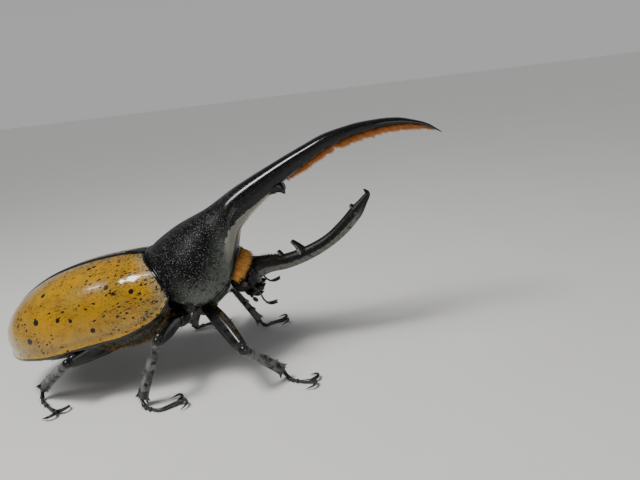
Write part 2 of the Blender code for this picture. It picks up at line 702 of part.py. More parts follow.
def main():
    for item in list(bpy.data.objects):
        bpy.data.objects.remove(item)
    draw = random.Random(SEED)
    body = bpy.data.objects.new("body_axis", None)
    bpy.context.scene.collection.objects.link(body)
    body.location = BODY_START * MM
    body.rotation_euler = (0.0, -BODY_PITCH, 0.0)
    bpy.context.view_layer.update()

    whole = shield_and_horn(body)
    bounds = [None, *HORN_CUTS, None]
    shield, horn_base, horn_middle, horn_tip = [
        section(whole, name, low, high) for name, low, high in zip(HORN_NODES, bounds, bounds[1:])]
    bpy.data.objects.remove(whole)
    big_teeth = [tooth([(x, side * y, z) for x, y, z in BIG_TOOTH], BIG_TOOTH_SIZE, body, (0, 0, 1), 8, 10)
                 for side in (-1, 1)]
    fuse(horn_base, big_teeth)
    small_tooth = tooth(SMALL_TOOTH, SMALL_TOOTH_SIZE, body)
    fuse(horn_middle, [small_tooth, *fringe_locks(*HORN_CUTS[1:3], body, draw)])
    fuse(horn_tip, fringe_locks(HORN_CUTS[2], HORN_TIP_X, body, draw))

    right_case = wing_case(-1, body)
    left_case = wing_case(1, body)
    plate = scutellum(body)
    clear_of(plate, shield)
    for case in (right_case, left_case):
        clear_of(case, plate, shield)

    under = underside(body)
    clear_of(under, shield, plate)
    thorax = section(under, "thorax_under", WAIST_X, None)
    abdomen = section(under, "abdomen", None, WAIST_X)
    bpy.data.objects.remove(under)
    fuse(thorax, [coxa(pair, side, body) for pair in ("middle", "hind") for side in (-1, 1)])
    clear_of(thorax, right_case, left_case)
    clear_of(abdomen, thorax)

    throat = boxed_loft("prosternum", THROAT, body)
    fuse(throat, [coxa("fore", side, body) for side in (-1, 1)])
    clear_of(throat, shield, thorax)

    head = boxed_loft("head", HEAD, body)
    eyes = [eye(side, body) for side in (-1, 1)]
    clear_of(head, *eyes)
    clear_of(head, shield, throat)
    fuse(shield, brush_locks(body, draw))
    clear_of(shield, head, *eyes, throat)
    horn = limb("head_horn", HEAD_HORN, HEAD_HORN_DEPTH, HEAD_HORN_SIDE, sides=12, rings=22, parent=body)
    head_horn_base = section(horn, "head_horn_base", None, HEAD_HORN_CUT)
    head_horn_tip = section(horn, "head_horn_tip", HEAD_HORN_CUT, None)
    bpy.data.objects.remove(horn)
    head_teeth = [tooth(points, [size * share for share in HEAD_TOOTH_TAPER], body)
                  for *points, size in HEAD_HORN_TEETH]
    fuse(head_horn_base, head_teeth[:2])
    fuse(head_horn_tip, head_teeth[2:])
    clear_of(head_horn_base, head, shield)
    jaws = boxed_loft("mouthparts", JAWS, body, sides=12)
    clear_of(jaws, head, throat, head_horn_base)

    feelers = [feeler(side) for side in (-1, 1)]
    palps = [palp(side) for side in (-1, 1)]
    for piece in feelers:
        clear_of(piece, head, *eyes, jaws, head_horn_base, solver="MANIFOLD")
    for piece in palps:
        clear_of(piece, jaws, head, solver="MANIFOLD")

    limbs = []
    for pair in LEGS:
        for side in (-1, 1):
            femur, tibia, tarsus = leg(pair, side)
            clear_of(femur, throat if pair == "fore" else thorax, shield, abdomen,
                     right_case if side < 0 else left_case)
            limbs += [femur, tibia, tarsus]

    for piece in (right_case, left_case):
        finish(piece, OCHRE, roughness=0.22)
    plates = (plate, thorax, abdomen, throat, head, jaws)
    for piece in (*plates, head_horn_base, head_horn_tip, horn_base, *limbs):
        finish(piece, BLACK, roughness=0.25)
    for piece in (shield, horn_middle, horn_tip, *feelers, *palps):
        finish(piece, BLACK, roughness=0.35)
    for piece in eyes:
        finish(piece, AMBER, roughness=0.12)


main()
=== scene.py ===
"""The looks of a male Hercules beetle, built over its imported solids.

Sizes are in millimetres and become metres as each piece is made. The body's own pieces are set
out on an axis that starts where the wing cases meet the pronotum, and TO_FLOOR pitches and lifts
them. The legs are set out over the floor.
"""

import bisect
import json
import math
import random

import bmesh
import bpy
import numpy as np
from mathutils import Matrix, Vector

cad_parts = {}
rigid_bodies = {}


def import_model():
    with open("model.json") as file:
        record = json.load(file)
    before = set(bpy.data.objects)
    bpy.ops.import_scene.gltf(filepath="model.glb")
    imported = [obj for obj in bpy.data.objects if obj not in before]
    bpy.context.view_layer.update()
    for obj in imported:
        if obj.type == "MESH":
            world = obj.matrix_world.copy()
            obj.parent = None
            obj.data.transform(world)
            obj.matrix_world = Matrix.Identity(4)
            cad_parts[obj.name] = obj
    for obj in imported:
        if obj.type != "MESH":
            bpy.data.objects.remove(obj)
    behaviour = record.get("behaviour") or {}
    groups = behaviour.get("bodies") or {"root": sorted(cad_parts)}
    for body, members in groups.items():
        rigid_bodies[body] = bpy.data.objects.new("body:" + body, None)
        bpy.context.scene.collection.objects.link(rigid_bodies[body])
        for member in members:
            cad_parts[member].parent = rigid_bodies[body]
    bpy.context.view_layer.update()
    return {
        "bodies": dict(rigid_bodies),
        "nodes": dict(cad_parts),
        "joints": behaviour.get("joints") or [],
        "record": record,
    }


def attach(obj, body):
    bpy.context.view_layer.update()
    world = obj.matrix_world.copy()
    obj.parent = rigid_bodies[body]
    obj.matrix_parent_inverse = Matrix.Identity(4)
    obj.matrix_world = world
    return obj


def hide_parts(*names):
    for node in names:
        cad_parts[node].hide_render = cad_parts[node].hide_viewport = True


MM = 0.001
SEED = 11

# Stance
BODY_PITCH = math.radians(15)
BODY_START = Vector((-23.7, 0, 40.7))
TO_FLOOR = Matrix.Translation(BODY_START) @ Matrix.Rotation(-BODY_PITCH, 4, "Y")
ON_FLOOR = Matrix.Identity(4)
REST_HEIGHT = 0.02

# Wing cases
CREST_X = -26
CREST_Z = 4
APEX_X = -53
APEX_Z = -11.2
FRONT_Z = 0
FRONT_X = -0.35
MARGIN_LINE = [(-53, -11.2), (-52.4, -12.4), (-51, -13.2), (-48, -14.2), (-42, -15), (-34, -16),
               (-26, -16.5), (-18, -17.4), (-12, -18.3), (-8, -17.9), (-5, -16.7),
               (-2.5, -14.7), (-0.35, -12.6)]
CASE_HALF_WIDTH = 21
SHOULDER_HALF_WIDTH = 17.4
DOME_FULLNESS = 2.35
REAR_FULLNESS = 2.15
FRONT_BOW = 4.6
BOW_REACH = 16
CASE_WALL = 0.8
CASE_GAP = 0.3
LINING = 1.16
FRONT_SHARE = 0.42
SHOULDER_KNOB = (-6.5, 15.2, 2.6, 0.55)
REAR_KNOB = (-42, 12.5, 3.4, 0.4)

# Raised edges of the wing cases, with a furrow beside each, as distance, reach and height
SEAM_RIDGES = [(0.3, 0.7, 0.34), (2, 0.6, -0.16)]
RIM_RIDGES = [(0.3, 0.7, 0.38), (2, 0.7, -0.24)]

# Underside
BELLY_FULLNESS = 1.75
BELLY_DEPTH = [(-53, 0), (-48, 3), (-36, 5.4), (-20, 6.4), (-12, 8.2), (0, 8.6), (4.4, 7.6)]
WAIST_X = -19
STERNITES = 6
STERNITE_STEP = 0.07
SCUTELLUM = (6.4, 4.2, 1)

# Pronotum and thoracic horn along the body axis
TOP_LINE = [(0, 0), (5, 2), (12, 3.8), (21.6, 5.1), (34.5, 8.4), (48, 10.8), (58, 12.3),
            (66, 13.2), (74.4, 12.7), (82, 11.3), (88.2, 9.4), (92.2, 7.2), (96.4, 4.2), (99.4, 0.5)]
UNDER_LINE = [(0, -14.2), (1.5, -16), (4, -17.2), (9, -18.2), (17, -19), (21.5, -17.9),
              (24.2, -15.6), (26, -12.2), (27.8, -9), (30.7, -4.6), (34.1, -2.2), (40, 0.5),
              (48, 3.8), (57.6, 6.7), (66, 8.7), (74, 9.2), (81, 8.6), (88, 7), (94, 4.4),
              (97.6, 1.7), (99.4, 0)]
SIDE_LINE = [(0, 16.2), (4, 17.8), (11, 19.2), (16, 18.8), (20, 16.6), (24, 12.4), (28, 8.9),
             (33, 6.5), (40, 5.1), (50, 4.1), (62, 3.5), (78, 3), (90, 2.4), (96, 1.8),
             (99.4, 0.9)]
# How round a section is: 1 is an ellipse and less is squarer
ROUNDNESS = [(0, 0.92), (24, 0.92), (34, 0.84), (99.4, 0.84)]
WIDEST_SHARE = [(0, 0.07), (18, 0.055), (22, 0.06), (25, 0.16), (31, 0.48), (99.4, 0.5)]
HORN_PLACES = [0, 0.3, 1.6, 4.5, 8, 12, 16, 19.5, 22.3, 24.3, 26, 27.8, 30, 33, 36.5, 41, 46,
               51, 56, 61, 66, 71, 76, 81, 85.5, 89.5, 93, 96, 98.3, 99.2, 99.4]
BIG_TOOTH = [(38, 1, 3.6), (43, 1.5, 4.2), (46, 2, 3.8), (47.4, 2.9, 2.5), (48, 3.9, 1)]
BIG_TOOTH_SIZE = [1, 2.3, 2.2, 1.2, 0.2]
SMALL_TOOTH = [(64.8, 0, 9.7), (65.8, 0, 8.3), (66.4, 0, 6.9)]
SMALL_TOOTH_SIZE = [1.4, 0.9, 0.15]

# How far the grey belt, partly bloom and partly a painted reflection of the floor, reaches in from the
# pronotum's front edge and the horn's lower edge
BELT_WIDTH = [(18, 3.8), (26, 3.8), (30, 3.1), (36, 2), (43, 1.1), (50, 0.6)]

# The rim of the pronotum's front opening, from a lower corner to its middle, as places and turns
FRONT_OPENING = [(21.5, 0), (23.4, -18), (24.9, -38), (26.2, -62), (26.7, -90)]

# Prosternum and head, as half width, top and bottom along the body axis
THROAT = [(3.6, 8.4, -14, -22.8), (7, 11, -14, -23.8), (13, 11, -14, -24.2),
          (18, 7.6, -14, -22.6), (20.6, 5.4, -14, -21.4)]
HEAD = [(20.4, 5, -15.8, -22.6), (22.4, 6.5, -15.6, -23.8), (24.8, 6.8, -15.4, -24.4),
        (27, 5.9, -15, -24.2), (29.2, 4.5, -15, -23.4), (30.6, 3.4, -16.2, -22.2)]
HEAD_HORN = [(27.6, 0, -18.4), (34, 0, -18.95), (40, 0, -20.3), (48, 0, -20.2),
             (55, 0, -18.9), (60.8, 0, -16.6), (65.7, 0, -13.8), (69.7, 0, -11),
             (71.6, 0, -9.3), (71, 0, -7.5)]
HEAD_HORN_DEPTH = [4.4, 2.9, 2.5, 2.3, 2.15, 2.25, 2.2, 1.35, 0.85, 0.2]
HEAD_HORN_SIDE = [4, 2.8, 2.4, 2.1, 1.9, 1.8, 1.7, 1.2, 0.8, 0.2]
HEAD_HORN_TEETH = [
    ((38.2, 0, -19.4), (38.7, 0, -17.6), (38.4, 0, -15.9), 1.9),
    ((45.4, 0, -19.4), (44.9, 0, -17), (43.5, 0, -14.5), 2.3),
    ((66.3, 0, -13.6), (65.9, 0, -12), (65.2, 0, -10.6), 2),
]
HEAD_TOOTH_TAPER = (1, 0.5, 0.3)
EYE_PLACE = (25.2, 6.2, -20.2)
EYE_SIZE = (1.35, 1.15, 1.4)
EYE_RIDGE = [(26.4, 4.6, -17), (27.4, 6.6, -18.8), (26.6, 7, -20.4)]
EYE_RIDGE_SIZE = [0.7, 0.6, 0.3]
LOFT_ROUNDNESS = 0.85
LOFT_ENDS = (0.12, 0.12)
JAWS = [(23.4, 3.4, -23.8, -25.6), (25.6, 4, -23.6, -26.4), (28, 3.2, -23.4, -26.2),
        (29.6, 1.8, -23.4, -25.2)]

# Lobes of the mouth, left side: points, depth, side and rings
LOBES = [
    ([(26.5, 2.6, -24.2), (28.8, 3.2, -24.4), (30.8, 1.8, -24)], [1.1, 1, 0.15], [1.1, 0.9, 0.15], 20),
    ([(24.6, 1.6, -25.4), (27, 1.9, -26.6), (29, 1.2, -26.6)], [0.7, 0.7, 0.2], [0.7, 0.7, 0.2], 32),
]

# Feelers and palps over the floor, right side
FEELER = [(7.3, -6, 27), (9.3, -7.4, 25.9), (10.9, -8.5, 24.2), (11.6, -9.3, 22.8), (12.7, -9.9, 21.8)]
CLUB = [(12.1, -9.7, 21.9), (14, -10.3, 21.7), (16.1, -10.9, 22.3)]
CLUB_SIZE = [0.35, 0.62, 0.2]
PALP = [(5.3, -2.6, 23.6), (7.1, -4.4, 22.9), (8.1, -4.9, 21.7), (9.3, -5.2, 20.8)]

# Hips, as places on the body axis, with the size of each coxa
COXA_INSET = 1.6
HIPS = {
    "fore": ((11.6, 8.8, -20.6), (4.2, 4.4, 4.6)),
    "middle": ((2, 7.6, -22.6), (3.6, 4.4, 3.4)),
    "hind": ((-13.2, 8.4, -22), (4.2, 5.6, 2.9)),
}

# Legs over the floor, right side: knee, ankle and the foot's route. The thigh's numbers are its depth
# and side, the shin's its size at knee and ankle, the teeth's their places along the shin, and outer is
# the way that they point
LEGS = {
    "fore": {
        "knee": (5.9, -27, 15),
        "ankle": (15.4, -20, 3.4),
        "foot": [(15.5, -19.95, 2.9), (17.3, -20.9, 0.5), (19.3, -22.4, 0.5), (21.1, -23.2, 0.5),
                 (24.1, -23.8, 0.62)],
        "thigh": (3.1, 2.1),
        "shin": (1.2, 1.6),
        "teeth": (0.50, 0.72, 0.93),
        "outer": (0.3, 0, 1),
    },
    "middle": {
        "knee": (-18.2, -26, 20.5),
        "ankle": (-26.5, -25, 2.6),
        "foot": [(-26.6, -25.05, 2.2), (-25.7, -26.6, 0.55), (-23.9, -28, 0.5), (-20.9, -29.4, 0.5),
                 (-15.3, -26.4, 0.66)],
        "thigh": (2.7, 1.8),
        "shin": (1.3, 1.6),
        "teeth": (0.55, 0.95),
        "outer": (-1, 0, 0),
    },
    "hind": {
        "knee": (-47.1, -22, 15.1),
        "ankle": (-60.9, -13.4, 3.8),
        "foot": [(-61.1, -13.4, 3.2), (-61.2, -15, 0.55), (-58.9, -18, 0.5), (-55.9, -21.2, 0.5),
                 (-52.7, -24, 0.64)],
        "thigh": (2.7, 1.8),
        "shin": (1.25, 1.6),
        "teeth": (0.55, 0.95),
        "outer": (-1, 0, 0),
    },
}
LEFT_STEP = {"fore": -10, "middle": 6, "hind": -4}
SPUR_LENGTH = 3.2
FOOT_SIZE = 0.78
CLAW = [(-0.6, 0.1, 0.1), (1.2, 1.3, 0.7), (0.9, 3.3, 0.6), (-1.6, 4.2, -0.2)]
CLAW_SIZE = [0.6, 0.5, 0.38, 0.05]

# Coats of hair: how many locks and tufts, and where and how long they are. The hair of thigh and shin
# is count, spread in degrees, first and last share of the length, and how long
FRINGE_LOCKS = 200
FRINGE_LOCK_TUFTS = 12
FRINGE_RANGE = (49.5, 97)
FRINGE_FALL = [1, 2, 2.3, 2.9, 3.2, 3.1, 1.2]
FRINGE_GAP = 66.3
BELT_HAIR = (31, 45)
BRUSH_LOCKS = 120
BRUSH_LOCK_TUFTS = 11
THIGH_HAIR = (130, 11, 0.16, 0.9, 1.15)
SHIN_HAIR = (40, 24, 0.2, 0.92, 0.9)
CHEST_TUFTS = 1100
HIP_TUFTS = 70
HEAD_TUFTS = 360
BELT_TUFTS = 200
BELLY_TUFTS = 260
PATCH = 0.003
STRAND_POINTS = 9

# Camera, with the focal length in pixels of the frame's width
FRAME_WIDTH = 640
FOCAL = 560
SENSOR = 36
CAMERA_PLACE = Vector((31.3, -173, 86.6))
CAMERA_PITCH = math.radians(16)
CAMERA_ROLL = math.radians(7)

# Light, with places and sizes in millimetres and power in watts
SUN_TOWARDS = Vector((-0.43, -0.30, 0.86))
SUN_STRENGTH = 1.8
SUN_WIDTH = math.radians(40)
LAMPS = [
    ("window", (-125, -95, 335), (-12, 0, 40), (88, 88), 1.05),
    ("side_fill", (200, -260, 100), (20, 0, 35), (200, 120), 0.22),
]
HORIZON = (0.43, 0.43, 0.43)
CEILING = (0.13, 0.135, 0.145)
HORIZON_BAND = (0.12, 0.42)
FLOOR_SIZE = 4


# Lines and curves

class Line:
    """A smooth line through (place, value) stations that never swings past them."""

    def __init__(self, stations):
        self.stations = stations
        self.places = [place for place, _ in stations]
        steps = [(b[1] - a[1]) / (b[0] - a[0]) for a, b in zip(stations, stations[1:])]
        inner = [0.0 if a * b <= 0 else 2 * a * b / (a + b) for a, b in zip(steps, steps[1:])]
        self.slopes = [steps[0], *inner, steps[-1]]

    def __call__(self, place):
        place = min(max(place, self.places[0]), self.places[-1])
        index = min(max(bisect.bisect_right(self.places, place) - 1, 0), len(self.places) - 2)
        (x0, y0), (x1, y1) = self.stations[index], self.stations[index + 1]
        span = x1 - x0
        t = (place - x0) / span
        leaving, arriving = self.slopes[index:index + 2]
        value = y0 * (1 + 2 * t) * (1 - t) ** 2 + y1 * t * t * (3 - 2 * t)
        return value + span * (leaving * t * (1 - t) ** 2 - arriving * t * t * (1 - t))


def even(values):
    """A line through evenly spaced values, read from 0 to 1."""
    return Line([(i / (len(values) - 1), value) for i, value in enumerate(values)])


class Curve:
    """A smooth curve through points, read from 0 to 1."""

    def __init__(self, points):
        points = [Vector(point) for point in points]
        self.count = len(points) - 1
        self.points = [points[0] * 2 - points[1], *points, points[-1] * 2 - points[-2]]

    def __call__(self, t):
        scaled = min(max(t, 0.0), 1.0) * self.count
        index = min(int(scaled), self.count - 1)
        f = scaled - index
        p0, p1, p2, p3 = self.points[index:index + 4]
        return 0.5 * (2 * p1 + (p2 - p0) * f + (2 * p0 - 5 * p1 + 4 * p2 - p3) * f * f
                      + (3 * p1 - p0 - 3 * p2 + p3) * f ** 3)

    def heading(self, t):
        return (self(min(t + 0.01, 1.0)) - self(max(t - 0.01, 0.0))).normalized()


def signed_power(value, power):
    return math.copysign(abs(value) ** power, value)


def hump(distance, reach):
    """A smooth bump that is 1 at no distance and fades within its reach."""
    return math.exp(-(distance / reach) ** 2)


top_line = Line(TOP_LINE)
under_line = Line(UNDER_LINE)
side_line = Line(SIDE_LINE)
roundness = Line(ROUNDNESS)
belt_width = Line(BELT_WIDTH)
widest_share = Line(WIDEST_SHARE)
horn_place = even(HORN_PLACES)
belly_depth = Line(BELLY_DEPTH)
margin_line = Line(MARGIN_LINE)
fringe_fall = even(FRINGE_FALL)
front_opening = Curve([(x, turn, 0.0) for x, turn in FRONT_OPENING])


# Meshes

def rounded(bm, sides, rings, shape):
    """Adds a closed body. shape(share, angle) places a sphere's points, and turn keeps the angle's sine."""
    turn = bm.verts.layers.float.get("turn") or bm.verts.layers.float.new("turn")
    for vertex in bmesh.ops.create_uvsphere(bm, u_segments=sides, v_segments=rings, radius=1.0)["verts"]:
        x, y, z = vertex.co
        angle = math.atan2(y, x)
        vertex.co = shape(math.acos(max(-1.0, min(1.0, z))) / math.pi, angle)
        vertex[turn] = math.sin(angle)


def end_swell(t, ends):
    """How full a body is near its ends, from 0 at a pole to 1 where its round end is over."""
    swell = 1.0
    for away, reach in zip((t, 1 - t), ends):
        if away < reach:
            swell *= math.sqrt(max(1 - (1 - away / reach) ** 2, 0.0))
    return swell


class Limb:
    """A tapering body along a curve: depth lies towards up and side across it. form(t, angle) swells it."""

    def __init__(self, points, depth, side=None, up=(0, 0, 1), form=None):
        self.curve = Curve(points)
        self.depth = even(depth)
        self.side = even(side or depth)
        self.up = Vector(up)
        self.form = form

    def point(self, t, angle, swell=1.0):
        heading = self.curve.heading(t)
        across = heading.cross(self.up).normalized()
        lift = across.cross(heading)
        if self.form:
            swell *= self.form(t, angle)
        return self.curve(t) + (across * (math.cos(angle) * self.side(t))
                                + lift * (math.sin(angle) * self.depth(t))) * swell

    def outward(self, t, angle):
        """A point on the limb and the way out from its middle there."""
        root = self.point(t, angle)
        return root, (root - self.curve(t)).normalized()

    def add(self, bm, sides=16, rings=32, ends=(0.08, 0.08)):
        def shape(share, angle):
            t = (1 - math.cos(math.pi * share)) / 2
            return self.point(t, angle, end_swell(t, ends))

        rounded(bm, sides, rings, shape)


def thorn(bm, points, sizes, up=(1, 0, 0.2), sides=18, rings=22):
    """A tooth, spur or claw that tapers to a point."""
    Limb(points, sizes, up=up).add(bm, sides, rings, (0.02, 0.04))


def bristle(bm, root, tip, size=0.1):
    """A stiff spine."""
    root, tip = Vector(root), Vector(tip)
    aside = (tip - root).orthogonal().normalized()
    Limb([root, root.lerp(tip, 0.5) + aside * 0.05, tip], [size, size * 0.7, 0.02], up=aside).add(bm, 6, 8)


def bead(bm, centre, size, sides=32, rings=24):
    """Adds an ellipsoid."""
    made = bmesh.ops.create_uvsphere(bm, u_segments=sides, v_segments=rings, radius=1.0)["verts"]
    bmesh.ops.scale(bm, vec=size, verts=made)
    bmesh.ops.translate(bm, vec=centre, verts=made)


def loft(bm, stations, sides, rings):
    """Adds a body through (place, half width, top, bottom) stations, with round ends."""
    half, top, bottom = (Line([(station[0], station[i]) for station in stations]) for i in (1, 2, 3))
    start, stop = stations[0][0], stations[-1][0]

    def shape(share, angle):
        t = (1 - math.cos(math.pi * share)) / 2
        x = start + (stop - start) * t
        swell = end_swell(t, LOFT_ENDS)
        middle = (top(x) + bottom(x)) / 2
        y = half(x) * signed_power(math.cos(angle), LOFT_ROUNDNESS) * swell
        z = middle + (top(x) - bottom(x)) / 2 * signed_power(math.sin(angle), LOFT_ROUNDNESS) * swell
        return Vector((x, y, z))

    rounded(bm, sides, rings, shape)


def flipped(points, side):
    """Left side points, on the side asked for."""
    return [(x, side * y, z) for x, y, z in points]


def mirrored(points, side, step=0.0):
    """Right side points, carried to the left side and moved along by a step where that is asked for."""
    return [(x + step * (side > 0), -side * y, z) for x, y, z in points]


def side_name(side):
    return "left" if side > 0 else "right"


def displaced(bm, relief):
    """Moves each point along its normal by relief(point)."""
    bm.normal_update()
    moves = [(vertex, vertex.normal * relief(vertex)) for vertex in bm.verts]
    for vertex, move in moves:
        vertex.co += move


def mesh_from(bm, name):
    mesh = bpy.data.meshes.new(name)
    bm.to_mesh(mesh)
    bm.free()
    return mesh


def placed(name, data):
    """Puts a mesh, light or camera into the scene."""
    thing = bpy.data.objects.new(name, data)
    bpy.context.scene.collection.objects.link(thing)
    return thing


def piece_from(bm, name, finish, nodes=(), frame=TO_FLOOR, recalculate=True):
    """Makes a piece of the beetle from a bmesh in millimetres in its frame."""
    bmesh.ops.transform(bm, matrix=frame, verts=bm.verts)
    bmesh.ops.scale(bm, vec=(MM, MM, MM), verts=bm.verts)
    if recalculate:
        bmesh.ops.recalc_face_normals(bm, faces=bm.faces)
    mesh = mesh_from(bm, name)
    mesh.shade_smooth()
    mesh.materials.append(finish.material)
    piece = placed(name, mesh)
    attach(piece, "root")
    if nodes:
        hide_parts(*nodes)
    return piece


# Shader maths

class Shade:
    """A number or colour that varies over a surface. Its sums and products add Math nodes."""

    def __init__(self, nodes, socket):
        self.nodes = nodes
        self.socket = socket

    def math(self, operation, *values):
        return self.nodes.node("ShaderNodeMath", {"operation": operation}, dict(enumerate(values)))

    def __add__(self, other):
        return self.math("ADD", self, other)

    def __sub__(self, other):
        return self.math("SUBTRACT", self, other)

    def __rsub__(self, other):
        return self.math("SUBTRACT", other, self)

    def __mul__(self, other):
        return self.math("MULTIPLY", self, other)

    def __abs__(self):
        return self.math("ABSOLUTE", self)

    __radd__ = __add__
    __rmul__ = __mul__

    def rise(self, low, high):
        """0 below low and 1 above high, with a smooth step between. It falls where low is the larger."""
        ends = (0.0, 1.0) if low < high else (1.0, 0.0)
        values = dict(enumerate((self, min(low, high), max(low, high), *ends)))
        return self.nodes.node("ShaderNodeMapRange", {"interpolation_type": "SMOOTHSTEP"}, values)

    def larger(self, other):
        return self.math("MAXIMUM", self, other)


class Nodes:
    """A node tree and the means to add to it."""

    def __init__(self, tree):
        self.tree = tree

    def node(self, kind, settings, values, output=0):
        """Adds a node, sets it, fills or links its sockets, and gives one of its outputs."""
        made = self.tree.nodes.new(kind)
        for setting, value in settings.items():
            setattr(made, setting, value)
        for key, value in values.items():
            self.fill(made.inputs[key], value)
        return Shade(self, made.outputs[output])

    def fill(self, socket, value):
        if isinstance(value, Shade):
            self.tree.links.new(value.socket, socket)
        elif isinstance(value, tuple) and len(value) == 3 and socket.type == "RGBA":
            socket.default_value = (*value, 1.0)
        else:
            socket.default_value = value

    def coordinate(self, name):
        return self.node("ShaderNodeTexCoord", {}, {}, name)

    def axis(self, place, index):
        return self.node("ShaderNodeSeparateXYZ", {}, {0: place}, index)

    def vector(self, operation, first, second, output=0):
        return self.node("ShaderNodeVectorMath", {"operation": operation}, {0: first, 1: second}, output)

    def mix(self, mask, first, second):
        """A colour between two, by a mask."""
        return self.node("ShaderNodeMix", {"data_type": "RGBA"}, {0: mask, 6: first, 7: second}, 2)


class Finish(Nodes):
    """One material, with its shader and where its surface lies."""

    def __init__(self, name, colour, roughness, coat=0.0, specular=0.5, on_body=True):
        self.material = bpy.data.materials.new(name)
        self.material.use_nodes = True
        super().__init__(self.material.node_tree)
        self.shader = self.tree.nodes["Principled BSDF"]
        self.drive("Base Color", colour)
        self.drive("Roughness", roughness)
        self.drive("Coat Weight", coat)
        self.drive("Coat Roughness", 0.08)
        self.drive("Specular IOR Level", specular)
        self.here = self.place(on_body)

    def drive(self, name, value):
        """Sets or feeds an input of the shader."""
        self.fill(self.shader.inputs[name], value)

    def place(self, on_body):
        """Where a point is, in millimetres, on the body axis or over the floor."""
        place = self.coordinate("Object")
        if on_body:
            place = self.vector("SUBTRACT", place, BODY_START * MM)
            turn = {0: place, "Angle": BODY_PITCH}
            place = self.node("ShaderNodeVectorRotate", {"rotation_type": "Y_AXIS"}, turn)
        return self.node("ShaderNodeVectorMath", {"operation": "SCALE"}, {0: place, "Scale": 1 / MM})

    def stretched(self, scale):
        return self.vector("MULTIPLY", self.here, scale)

    def noise(self, scale, detail=2.0, roughness=0.5, over=None, output=0):
        values = {"Vector": over or self.here, "Scale": scale, "Detail": detail, "Roughness": roughness}
        return self.node("ShaderNodeTexNoise", {}, values, output)

    def cells(self, scale, over=None, feature="F1", output="Distance"):
        values = {"Vector": over or self.here, "Scale": scale}
        return self.node("ShaderNodeTexVoronoi", {"feature": feature}, values, output)

    def attribute(self, name):
        return self.node("ShaderNodeAttribute", {"attribute_name": name}, {}, "Fac")

    def bumps(self, height, strength, distance, under=None):
        values = {"Height": height, "Strength": strength, "Distance": distance * MM}
        if under:
            values["Normal"] = under
        return self.node("ShaderNodeBump", {}, values)


# Finishes

BLACK = (0.0028, 0.0027, 0.0027)
# Grey-green on black chitin: partly a real bloom, partly painted sheen reflected from the floor
BLOOM_AND_SHEEN = (0.095, 0.105, 0.088)
# The grey belt at the pronotum's front edge and the horn's lower edge: partly bloom, partly a painted
# reflection of the floor
BELT_BLOOM_AND_SHEEN = (0.215, 0.220, 0.180)
BELT_HEM = (0.42, 0.27, 0.07)
# The head horn's lower half: partly bloom, partly a painted reflection of the floor
HORN_BLOOM_AND_SHEEN = (0.135, 0.140, 0.118)
# Patches on the legs, feelers and palps: partly bloom, partly painted sheen
LEG_BLOOM_AND_SHEEN = (0.112, 0.120, 0.112)
# Pale dots in the pits of the pronotum and head: painted glints
PAINTED_GLINT = (0.25, 0.255, 0.25)
OCHRE = (0.36, 0.182, 0.003)
OLIVE = (0.25, 0.148, 0.012)
RUSSET = (0.19, 0.085, 0.006)
# Pale rim and rear of the wing cases: partly bloom, partly painted sheen
RIM_BLOOM_AND_SHEEN = (0.44, 0.38, 0.19)
# Grey band at the wing cases' front margin: painted sheen
FRONT_MARGIN_SHEEN = (0.22, 0.20, 0.12)
DARK_SPECK = (0.010, 0.007, 0.004)

# Hair, from root to tip. The darker roots are partly painted shade, where the hair lies close under the horn
# and the body
HAIR_TONES = {
    "orange_hair": ((0.50, 0.15, 0.022), (0.86, 0.35, 0.095)),
    "brush_hair": ((0.42, 0.17, 0.022), (0.92, 0.46, 0.10)),
    "golden_hair": ((0.10, 0.052, 0.014), (0.40, 0.235, 0.065)),
    "dusky_hair": ((0.02, 0.013, 0.006), (0.17, 0.10, 0.035)),
}

# Specks by size: scale, core, rim, share of the crowding, bar, blur and strength
SPECK_SIZES = [
    (1.25, 0.32, 0.44, 0.7, 0.0, 0.03, 1.0),
    (2.7, 0.28, 0.44, 0.95, 0.0, 0.04, 0.85),
    (4.4, 0.2, 0.48, 0.8, 0.12, 0.04, 0.7),
]

# The wing cases' larger spots, as places on the left case, which the right one mirrors, with their sizes
SPOTS = [
    (-30.9, 12.3, 1.0, 0.75), (-33.9, 17.6, -4.8, 0.95), (-38.1, 18.3, -9.3, 0.95), (-26.8, 19.1, -6.2, 0.7),
    (-23.1, 19.6, -7.7, 0.5), (-18.1, 20.4, -12.6, 0.75), (-10.9, 15.2, -3.3, 0.8), (-9.0, 16.5, -5.6, 0.7),
    (-16.5, 7.5, 2.6, 0.7), (-15.0, 7.0, 2.5, 0.6), (-40.9, 14.8, -4.6, 0.5), (-3.9, 17.0, -6.6, 0.8),
    (-35.2, 18.9, -10.2, 0.5), (-31.5, 19.8, -11.5, 0.5), (-37.4, 13.2, -1.6, 0.5),
]


